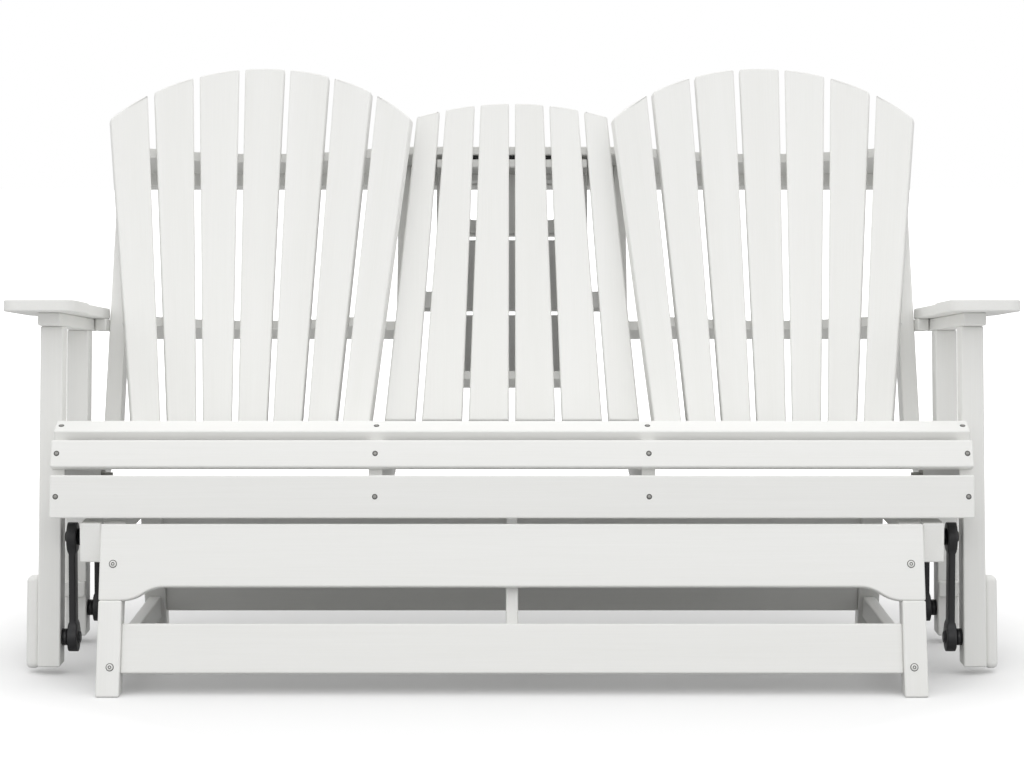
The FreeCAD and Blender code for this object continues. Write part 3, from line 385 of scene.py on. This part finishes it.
def turn(axis: int, degrees: float) -> np.ndarray:
    """Rotation about a row axis, by the right-hand rule.

    Args:
        axis: Zero for X, one for Y, two for Z.
        degrees: Angle of the turn.

    Returns:
        The three by three matrix.
    """
    cosine, sine = np.cos(np.radians(degrees)), np.sin(np.radians(degrees))
    matrix = np.eye(3)
    first, second = (axis + 1) % 3, (axis + 2) % 3
    matrix[first, first] = matrix[second, second] = cosine
    matrix[first, second], matrix[second, first] = -sine, sine
    return matrix


@dataclass
class RakedBack:
    """The plane that the fans and the console lie on, in millimetres."""

    depth: float = 85.256
    lift: float = 402.0
    rake: float = 23.0

    def to_row(self, points: np.ndarray) -> np.ndarray:
        """Turn back coordinates in millimetres into the row frame in metres.

        Args:
            points: Rows of x, up and front.

        Returns:
            Rows of X, Y and Z.
        """
        return (points @ turn(0, 90 - self.rake).T + (0, self.depth, self.lift)) * MM


@dataclass
class Finishes:
    """All materials of the glider, made once."""

    lumber: dict = field(default_factory=dict)
    powder: bpy.types.Material | None = None
    black_oxide: bpy.types.Material | None = None
    stainless: bpy.types.Material | None = None
    countersink_shade: bpy.types.Material | None = None
    white_coat: bpy.types.Material | None = None
    rubber: bpy.types.Material | None = None

    def build(self) -> "Finishes":
        """Make every finish.

        Returns:
            The same object, filled.
        """
        board = PolyLumber()
        self.lumber = {grain: board.build(grain) for grain in Grain}
        self.powder = POWDER_COAT.build()
        self.black_oxide = BLACK_OXIDE.build()
        self.stainless = STAINLESS.build()
        self.countersink_shade = COUNTERSINK_SHADE.build()
        self.white_coat = WHITE_COAT.build()
        self.rubber = RUBBER.build()
        return self


@dataclass
class Boards:
    """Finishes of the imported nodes: boards get a grain along their length, hardware its metal or rubber.

    Names that end in one of deep run from front to back, and boards with no rule of their own run across.
    """

    deep: tuple = ("side_stretchers", "brace", "side_beam", "stringer", "arm_cleats")

    def grain_of(self, node: str) -> Grain:
        """Pick the grain direction of a packed board by its name.

        Args:
            node: Name of the node.

        Returns:
            Its grain.
        """
        if node.endswith("_leg"):
            return Grain.LEG_FRONT if node.startswith("front") else Grain.LEG_REAR
        if node.endswith("_post") or node == "pivot_covers":
            return Grain.POST
        if node.endswith(("_arm", "_arm_beam")):
            return Grain.ARM
        if node.endswith("_upright") or node == "console_stiles":
            return Grain.BACK
        if node.endswith(self.deep):
            return Grain.DEEP
        return Grain.ACROSS

    def dress(self, finishes: Finishes) -> None:
        """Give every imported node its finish.

        Args:
            finishes: The glider's materials.
        """
        fittings = {"console_brackets": finishes.white_coat, "stop_pad": finishes.rubber,
                    "upper_pivot_bolts": finishes.black_oxide, "lower_pivot_bolts": finishes.black_oxide,
                    "slat_screws": finishes.stainless, "frame_bolts": finishes.stainless}
        for name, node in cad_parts.items():
            material = fittings.get(name)
            if name.endswith("_link"):
                material = finishes.powder
            if material is None:
                material = finishes.lumber[self.grain_of(name)]
            for slot in node.material_slots:
                slot.material = material


@dataclass
class FanBack:
    """Seven tapered slats on a scoop, spread towards one round top; sizes in millimetres."""

    side: int
    back: RakedBack
    centre: float = 462.0
    foot: float = -40.0
    top: float = 673.0
    top_radius: float = 371.0
    pitch: tuple = (61.2, 84.3)
    width: tuple = (51.5, 74.0)
    sag: tuple = (25.0, 40.0)
    turn_step: float = 5.5
    thick: float = 20.0
    edge: float = 3.5
    side_slats: int = 3
    top_points: int = 17
    grain_shift: tuple = (200.0, 3000.0)

    def slat(self, step: int) -> tuple[np.ndarray, list, np.ndarray]:
        """One slat: a tapered board whose top follows the fan's arc.

        The line at share s of the half width runs p(t) = p0 + t d in the back's plane, and its end
        solves |p(t) - c| = radius, so the top edge is found for all shares at once.

        Args:
            step: Number of the slat, counted from the middle.

        Returns:
            Vertices in the row frame, faces, and the board's own coordinates.
        """
        height = self.top - self.foot
        pitch_rate, width_rate, sag_rate = ((high - low) / height
                                            for low, high in (self.pitch, self.width, self.sag))
        share = (step / self.side_slats) ** 2
        spin = (turn(2, -np.degrees(np.arctan(step * pitch_rate)))
                @ turn(0, np.degrees(np.arctan(sag_rate * share))) @ turn(1, -step * self.turn_step))
        origin = np.array((self.side * self.centre + step * self.pitch[0], self.foot, self.sag[0] * share))
        shares = np.linspace(1, -1, self.top_points)
        across = shares * self.width[0] / 2
        run = np.column_stack((shares * width_rate / 2, np.ones_like(shares)))
        flat = spin[:2, :2]
        start = np.column_stack((across, np.zeros_like(across))) @ flat.T + origin[:2]
        way = run @ flat.T
        offset = start - (self.side * self.centre, self.top - self.top_radius)
        a = np.sum(way ** 2, axis=1)
        b = np.sum(way * offset, axis=1)
        c = np.sum(offset ** 2, axis=1) - self.top_radius ** 2
        reach = (-b + np.sqrt(b ** 2 - a * c)) / a
        tip = np.column_stack((across + run[:, 0] * reach, reach))
        half_foot = self.width[0] / 2
        outline = np.concatenate(([(-half_foot, 0), (half_foot, 0)], soften(tip, self.edge)))
        points, faces = rounded_plate(outline, -self.thick, 0.0, self.edge)
        # The shift keeps two slats from sharing a stretch of the pattern.
        own = (points + (step * self.grain_shift[0] + self.side * self.grain_shift[1], 0, 0)) * MM
        return self.back.to_row(points @ spin.T + origin), faces, own

    def build(self, finishes: Finishes) -> None:
        """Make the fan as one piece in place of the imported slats.

        Args:
            finishes: The glider's materials.
        """
        name = "left" if self.side < 0 else "right"
        slats = [self.slat(step) for step in range(-self.side_slats, self.side_slats + 1)]
        put([(points, faces) for points, faces, _ in slats], f"{name}_fan_boards", "seat",
            finishes.lumber[Grain.OWN], (f"{name}_fan_slats",), [own for _, _, own in slats])


def soften(tip: np.ndarray, radius: float) -> np.ndarray:
    """Round the two corners where a slat's top edge meets its sides.

    Each end of the edge is drawn down by radius (1 - sin) over its last stretch, a quarter round.

    Args:
        tip: Points of the top edge, from right to left.
        radius: Radius of the corners.

    Returns:
        The edge with its ends drawn down.
    """
    quarter = np.linspace(0, np.pi / 2, CORNER_POINTS)
    level = np.zeros(CORNER_POINTS)
    right, left = tip[0], tip[-1]
    drop = np.column_stack((radius * (np.cos(quarter) - 1), radius * (np.sin(quarter) - 1)))
    inner = tip[(tip[:, 0] < right[0] - radius) & (tip[:, 0] > left[0] + radius)]
    slope_right = (tip[1, 1] - right[1]) / (tip[1, 0] - right[0])
    slope_left = (tip[-2, 1] - left[1]) / (tip[-2, 0] - left[0])
    right_end = right + drop + np.column_stack((level, slope_right * drop[:, 0]))
    left_drop = drop[::-1] * (-1, 1)
    left_end = left + left_drop + np.column_stack((level, slope_left * left_drop[:, 0]))
    return np.concatenate((right_end, inner, left_end))


@dataclass
class ConsolePanel:
    """The six tapered slats on the console's front, under one shallow arc; sizes in millimetres."""

    back: RakedBack
    half: tuple = (226.0, 181.0)
    outer: tuple = (55.0, 43.0)
    high: float = 530.0
    gap: float = 11.0
    foot: float = -12.0
    top: float = 602.0
    top_radius: float = 577.0
    thick: float = 20.0
    edge: float = 3.5
    half_slats: int = 3
    top_points: int = 13
    grain_shift: tuple = (700.0, 900.0)

    def edges(self, up: float) -> list:
        """Left and right edge of each slat on the right half, at a height on the back.

        Args:
            up: Height on the back.

        Returns:
            Pairs of x, from the middle outwards.
        """
        half, outer = (low + (high - low) * up / self.high for low, high in (self.half, self.outer))
        # On each half, two inner slats share what the outer one, two gaps and half the middle gap leave.
        gaps = 2.5 * self.gap
        inner = (half - outer - gaps) / 2
        first = self.gap / 2
        second = first + inner + self.gap
        return [(first, first + inner), (second, half - outer - self.gap), (half - outer, half)]

    def slat(self, number: int, side: int) -> tuple[np.ndarray, list, np.ndarray]:
        """One slat, with a top edge on the console's arc.

        Args:
            number: Number from the middle outwards.
            side: Minus one on the left, one on the right.

        Returns:
            Vertices in the row frame, faces, and the board's own coordinates.
        """
        feet = np.array(self.edges(self.foot)[number])
        tips = np.array(self.edges(self.top)[number])
        if side < 0:
            feet, tips = -feet[::-1], -tips[::-1]
        shares = np.linspace(1, 0, self.top_points)
        low = feet[0] + (feet[1] - feet[0]) * shares
        drift = (tips[0] + (tips[1] - tips[0]) * shares - low) / (self.top - self.foot)
        centre = self.top - self.top_radius
        a = 1 + drift ** 2
        b = low * drift + (self.foot - centre)
        c = low ** 2 + (self.foot - centre) ** 2 - self.top_radius ** 2
        reach = (-b + np.sqrt(b ** 2 - a * c)) / a
        tip = np.column_stack((low + drift * reach, self.foot + reach))
        outline = np.concatenate(([(feet[0], self.foot), (feet[1], self.foot)], soften(tip, self.edge)))
        points, faces = rounded_plate(outline, -self.thick, 0.0, self.edge)
        own = (points + (side * self.grain_shift[0], number * self.grain_shift[1], 0)) * MM
        return self.back.to_row(points), faces, own

    def build(self, finishes: Finishes) -> None:
        """Make the console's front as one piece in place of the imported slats.

        Args:
            finishes: The glider's materials.
        """
        slats = [self.slat(number, side) for _, side in SIDES for number in range(self.half_slats)]
        put([(points, faces) for points, faces, _ in slats], "console_front_boards", "console",
            finishes.lumber[Grain.OWN], ("console_slats",), [own for _, _, own in slats])


@dataclass
class SwingLinks:
    """Four flat links with an eye at each end, and the bolts that they hang on; sizes in millimetres."""

    inner: float = 726.0
    thick: float = 16.0
    reach: float = 169.0
    eye: float = 24.0
    bar: float = 15.0
    bar_thick: float = 11.0
    fillet: float = 20.0
    corner: float = 2.2
    lower_lift: float = 60.0
    depths: tuple = (("front", -211.744), ("rear", 54.256))
    base_face: float = 668.0
    beam_face: float = 703.0
    post_face: float = 753.0
    post_end: float = 791.0
    bolt: float = 6.0
    head: float = 11.0
    head_thick: float = 4.0
    flange: float = 1.0
    hex_flat: float = 8.2
    hex_tip: float = 7.2
    hex_chamfer: float = 0.6
    spacer: float = 14.0
    play: float = 0.3
    # The loft: rings, points on each, half width at the ends, start (a share of the eye) and run of the
    # thinning, and the most of a half width that a corner's radius takes
    rings: int = 72
    ring_points: int = 20
    tip: float = 0.2
    thin_from: float = 0.9
    thin_run: float = 5.0
    corner_share: float = 0.6

    def half_width(self, away: np.ndarray) -> np.ndarray:
        """Half the link's width at a distance from the nearer pivot, positive towards the other one.

        The eye is a circle, sqrt(eye^2 - a^2); a hollow fillet, bar + fillet - sqrt(fillet^2 - (h - a)^2),
        leads into the straight bar, which starts at h.

        Args:
            away: Distances from the pivot.

        Returns:
            Half widths.
        """
        start = np.sqrt((self.eye + self.fillet) ** 2 - (self.bar + self.fillet) ** 2)
        tangent = self.eye * start / (self.eye + self.fillet)
        circle = np.sqrt(np.maximum(self.eye ** 2 - away ** 2, self.tip ** 2))
        dip = np.sqrt(np.maximum(self.fillet ** 2 - (start - away) ** 2, 0))
        hollow = self.bar + self.fillet - dip
        return np.where(away < tangent, circle, np.where(away < start, hollow, self.bar))

    def loft(self) -> tuple[np.ndarray, list]:
        """The link as a rounded section carried from its lower end to its upper one.

        A section is four quarter rounds about (+-(w - r), +-(t - r)), where the half width w follows the
        eyes and the bar, and the half thickness t falls from the eyes to the bar along a smooth step.

        Returns:
            Rows of two coordinates in the link's plane and one outwards, and faces.
        """
        middle = self.reach / 2
        share = np.sin(np.linspace(-np.pi / 2, np.pi / 2, self.rings))
        along = middle + share * (middle + self.eye)
        away = middle - np.abs(along - middle)
        width = self.half_width(away)
        step = np.clip((away - self.thin_from * self.eye) / self.thin_run, 0, 1)
        thick = (self.thick + (self.bar_thick - self.thick) * step ** 2 * (3 - 2 * step)) / 2
        radius = np.minimum(self.corner, self.corner_share * width)
        angle = np.linspace(0, 2 * np.pi, self.ring_points, endpoint=False) + np.pi / self.ring_points
        across = np.sign(np.cos(angle)) * (width - radius)[:, None] + radius[:, None] * np.cos(angle)
        outwards = np.sign(np.sin(angle)) * (thick - radius)[:, None] + radius[:, None] * np.sin(angle)
        up = np.repeat(along[:, None], len(angle), axis=1)
        points = np.stack((across, up, outwards + self.inner + self.thick / 2), axis=-1).reshape(-1, 3)
        faces = [face[::-1] for face in tube_faces(len(along), len(angle))]
        return points, faces

    def place(self, points: np.ndarray, side: int, depth: float, lift: float) -> np.ndarray:
        """Set a piece whose height runs outwards from the middle at a pivot, in the row frame.

        Args:
            points: Rows of two coordinates in the link's plane and one outwards.
            side: Minus one on the left, one on the right.
            depth: Y of the pivot.
            lift: Z of the pivot.

        Returns:
            Vertices in metres.
        """
        flat = np.column_stack((side * points[:, 2], side * points[:, 0] + depth, points[:, 1] + lift))
        return flat * MM

    def build(self, finishes: Finishes) -> None:
        """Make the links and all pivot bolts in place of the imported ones.

        Args:
            finishes: The glider's materials.
        """
        near = self.inner - self.play
        far = self.inner + self.thick + self.play
        upper = self.lower_lift + self.reach
        # Heights outwards from the middle, radii and flats: a base bolt's head is outside its link,
        # and a seat bolt's head inside.
        base_bolt = [(self.base_face, self.bolt, 0), (self.beam_face, self.bolt, 0),
                     (self.beam_face, self.spacer, 0), (near, self.spacer, 0),
                     (near, self.bolt, 0), (far, self.bolt, 0),
                     (far, self.head, 0), (far + self.flange, self.head, 0),
                     (far + self.flange, self.hex_flat, 6),
                     (far + self.head_thick - self.hex_chamfer, self.hex_flat, 6),
                     (far + self.head_thick, self.hex_tip, 0)]
        seat_bolt = [(near - self.head_thick, self.hex_tip, 0),
                     (near - self.head_thick + self.hex_chamfer, self.hex_flat, 6),
                     (near - self.flange, self.hex_flat, 6), (near - self.flange, self.head, 0),
                     (near, self.head, 0), (near, self.bolt, 0),
                     (far, self.bolt, 0), (far, self.spacer, 0),
                     (self.post_face, self.spacer, 0), (self.post_face, self.bolt, 0),
                     (self.post_end, self.bolt, 0)]
        link, link_faces = self.loft()
        base_bolts, seat_bolts = [], []
        for end, depth in self.depths:
            for name, side in SIDES:
                put([(self.place(link, side, depth, self.lower_lift), link_faces)], f"{end}_{name}_link_bar",
                    f"{end}_{name}_link", finishes.powder, (f"{end}_{name}_link",))
                for profile, lift, bolts in ((base_bolt, upper, base_bolts),
                                             (seat_bolt, self.lower_lift, seat_bolts)):
                    points, faces = turned(profile)
                    bolts.append((self.place(points, side, depth, lift), faces))
        put(base_bolts, "upper_bolts", "base", finishes.black_oxide, ("upper_pivot_bolts",))
        put(seat_bolts, "lower_bolts", "seat", finishes.black_oxide, ("lower_pivot_bolts",))


@dataclass
class Screws:
    """Countersunk screws with a square drive, on the seat slats and on the base, with painted shade in their
    countersinks; sizes in millimetres.

    Depth is counted backwards from the front edge of the front feet, as the part's own sizes are.
    """

    # Heights, radii and flats: painted shade, a dark disc for the shaded wall of each countersink, and the
    # head in it
    seat_countersink_shade: tuple = ((0.0, 4.5, 0), (0.2, 4.5, 0), (0.3, 4.3, 0))
    seat_head: tuple = ((0.3, 2.9, 0), (0.8, 2.8, 0), (1.25, 2.2, 0), (1.45, 1.5, 0), (1.45, 1.0, 4),
                        (0.6, 1.0, 4))
    # Painted shade on the base's screws: a dark disc for each countersink's wall and a dark ring for the
    # shaded socket of the drive, then the head
    base_countersink_shade: tuple = ((0.0, 6.5, 0), (0.2, 6.5, 0), (0.3, 6.3, 0))
    base_socket_shade: tuple = ((1.5, 2.9, 0), (1.8, 2.8, 0), (1.8, 1.7, 0), (1.5, 1.6, 0))
    base_head: tuple = ((0.3, 5.3, 0), (1.0, 5.1, 0), (1.5, 4.3, 0), (1.7, 3.1, 0), (1.7, 2.8, 0),
                        (0.5, 2.7, 0), (0.5, 1.6, 0), (1.6, 1.5, 0))
    segments: int = 32
    mid_depth: float = 407.744
    base_depth: float = 623.0
    seat_lines: tuple = (-742.0, -223.0, 223.0, 742.0)
    base_lines: tuple = (-646.0, 646.0)
    # Depth, lift and lean of the face under each row of screws
    front_rows: tuple = ((76.09, 313.48, 81.6), (91.17, 382.23, 69.2), (140.26, 421.91, 20.8))
    base_rows: tuple = ((55.5, 207.0), (12.6, 47.0))
    base_lean: float = 75.0
    pan_start: tuple = (169.63, 426.59)
    pan_slope: float = -9.5
    pan_slats: int = 4
    pan_slat: float = 64.05
    pan_step: float = 72.05

    def on_face(self, profile: tuple, x: float, depth: float, lift: float, lean: float) -> tuple:
        """Set one turned piece on a face.

        Args:
            profile: Rows of height, radius and flats.
            x: X of the screw.
            depth: Its depth.
            lift: Its height.
            lean: Climb of the face to the back, in degrees.

        Returns:
            Vertices in the row frame and faces.
        """
        points, faces = turned(profile, self.segments)
        return (points @ turn(0, lean).T + (x, depth - self.mid_depth, lift)) * MM, faces

    def seat_rows(self) -> list:
        """Find every row of screws on the seat, from the front to the back.

        Returns:
            Depth, lift and lean of each row.
        """
        slope = np.radians(self.pan_slope)
        rows = list(self.front_rows)
        depth, lift = self.pan_start
        for number in range(self.pan_slats):
            along = number * self.pan_step + self.pan_slat / 2
            rows.append((depth + along * np.cos(slope), lift + along * np.sin(slope), self.pan_slope))
        return rows

    def build(self, finishes: Finishes) -> None:
        """Make the seat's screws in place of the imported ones, and those of the base.

        Args:
            finishes: The glider's materials.
        """
        seat = [(x, *row) for row in self.seat_rows() for x in self.seat_lines]
        base = [(x, *row) for x in self.base_lines for depth, lift in self.base_rows
                for row in ((depth, lift, self.base_lean), (self.base_depth - depth, lift, -self.base_lean))]
        put([self.on_face(self.seat_head, *spot) for spot in seat], "seat_screw_heads", "seat",
            finishes.stainless, ("slat_screws",))
        # Painted shade: dark discs stand for the shaded countersinks around the seat's screws
        put([self.on_face(self.seat_countersink_shade, *spot) for spot in seat], "seat_screw_painted_shade", "seat",
            finishes.countersink_shade)
        put([self.on_face(self.base_head, *spot) for spot in base], "base_screw_heads", "base",
            finishes.white_coat)
        # Painted shade: dark discs for the base's countersinks and dark rings for the shaded drive sockets
        put([self.on_face(profile, *spot) for spot in base for profile in (self.base_countersink_shade, self.base_socket_shade)],
            "base_screw_painted_shade", "base", finishes.countersink_shade)


# Stage


def build_floor(half: float = 30.0, spread: tuple = (0.8, 1.9), glows: tuple = (0.1, 0.9),
                shades: tuple = (0.55, 0.8)) -> None:
    """A pale floor that keeps the soft shadow near the object and runs out to white.

    What the camera sees besides the matt floor is a glow that grows with the distance from the middle.

    Args:
        half: Half the side of the floor, in metres.
        spread: Distances where the glow starts and stops growing, in metres.
        glows: Strength of the glow at these distances.
        shades: Grey of the matt floor to the light it throws back, and to the camera.
    """
    mesh = bpy.data.meshes.new("floor")
    corners = [(-half, -half, 0), (half, -half, 0), (half, half, 0), (-half, half, 0)]
    mesh.from_pydata(corners, [], [(0, 1, 2, 3)])
    floor = bpy.data.objects.new("floor", mesh)
    bpy.context.scene.collection.objects.link(floor)
    material, tree = blank_material("studio_floor")
    coords = add_node(tree, "ShaderNodeTexCoord").outputs["Object"]
    away = add_node(tree, "ShaderNodeVectorMath", {"operation": "LENGTH"}, {0: coords}).outputs["Value"]
    glow = add_node(tree, "ShaderNodeMapRange", {"From Min": spread[0], "From Max": spread[1],
                                                 "To Min": glows[0], "To Max": glows[1]},
                    {"Value": away}).outputs[0]
    seen = add_node(tree, "ShaderNodeLightPath").outputs["Is Camera Ray"]
    shade = add_node(tree, "ShaderNodeMapRange", {"To Min": shades[0], "To Max": shades[1]},
                     {"Value": seen}).outputs[0]
    matt = add_node(tree, "ShaderNodeBsdfDiffuse", {}, {"Color": shade})
    lift = add_node(tree, "ShaderNodeMath", {"operation": "MULTIPLY"}, {0: seen, 1: glow})
    light = add_node(tree, "ShaderNodeEmission", {}, {"Strength": lift.outputs[0]})
    both = add_node(tree, "ShaderNodeAddShader", {}, {0: matt.outputs[0], 1: light.outputs[0]})
    add_node(tree, "ShaderNodeOutputMaterial", {}, {"Surface": both.outputs[0]})
    mesh.materials.append(material)


def build_world(level: float = 0.22, overhead: float = 1.4) -> None:
    """A plain white surround: it lights softly, and shows white to camera, glossy and glass rays.

    Args:
        level: Light that it throws on the object from the horizon.
        overhead: Light from straight above; between the two it grows with the sine of the elevation.
    """
    world = bpy.data.worlds.new("studio")
    bpy.context.scene.world = world
    world.use_nodes = True
    tree = world.node_tree
    tree.nodes.clear()
    path = add_node(tree, "ShaderNodeLightPath")
    shown = add_node(tree, "ShaderNodeMath", {"operation": "MAXIMUM"},
                     {0: path.outputs["Is Camera Ray"], 1: path.outputs["Is Glossy Ray"]})
    shown = add_node(tree, "ShaderNodeMath", {"operation": "MAXIMUM"},
                     {0: shown.outputs[0], 1: path.outputs["Is Transmission Ray"]})
    way = add_node(tree, "ShaderNodeTexCoord")
    rise = add_node(tree, "ShaderNodeSeparateXYZ", {}, {"Vector": way.outputs["Generated"]})
    sky = add_node(tree, "ShaderNodeMapRange", {"To Min": level, "To Max": overhead},
                   {"Value": rise.outputs["Z"]})
    strength = add_node(tree, "ShaderNodeMapRange", {"To Max": 1.0},
                        {"Value": shown.outputs[0], "To Min": sky.outputs[0]})
    white = add_node(tree, "ShaderNodeBackground", {"Color": (1, 1, 1, 1)},
                     {"Strength": strength.outputs[0]})
    add_node(tree, "ShaderNodeOutputWorld", {}, {"Surface": white.outputs[0]})


def build_lamp(name: str, place: tuple, aim: tuple, size: float, power: float) -> None:
    """A square soft light.

    Args:
        name: Name of the lamp.
        place: Where it hangs, in metres.
        aim: Point that it faces.
        size: Side of the square, in metres.
        power: Watts.
    """
    lamp = bpy.data.lights.new(name, "AREA")
    lamp.size = size
    lamp.energy = power
    holder = bpy.data.objects.new(name, lamp)
    holder.location = place
    way = np.array(aim, float) - np.array(place, float)
    tilt = np.arctan2(np.hypot(way[0], way[1]), -way[2])
    holder.rotation_euler = (tilt, 0, np.arctan2(-way[0], way[1]))
    bpy.context.scene.collection.objects.link(holder)


def build_camera() -> None:
    """The photograph's view: square on, from a little above the back, with a long lens."""
    lens = bpy.data.cameras.new("photo_camera")
    lens.sensor_width = SENSOR_MM
    lens.lens = FOCAL_PX / PHOTO_WIDTH_PX * SENSOR_MM
    lens.shift_y = CAMERA_SHIFT
    lens.clip_end = CAMERA_SIGHT
    camera = bpy.data.objects.new("photo_camera", lens)
    camera.location = CAMERA_PLACE
    camera.rotation_euler = (np.radians(90.0 - CAMERA_TILT), 0.0, 0.0)
    bpy.context.scene.collection.objects.link(camera)
    bpy.context.scene.camera = camera


def main() -> None:
    """Build the stage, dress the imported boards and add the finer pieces."""
    logging.basicConfig(level=logging.INFO, format="%(name)s: %(message)s")
    bpy.context.scene.view_settings.view_transform = "Standard"
    build_camera()
    build_world()
    build_floor()
    for lamp in LAMPS:
        build_lamp(*lamp)
    finishes = Finishes().build()
    Boards().dress(finishes)
    back = RakedBack()
    for _, side in SIDES:
        FanBack(side, back).build(finishes)
    ConsolePanel(back).build(finishes)
    SwingLinks().build(finishes)
    Screws().build(finishes)


if __name__ == "__main__":
    main()
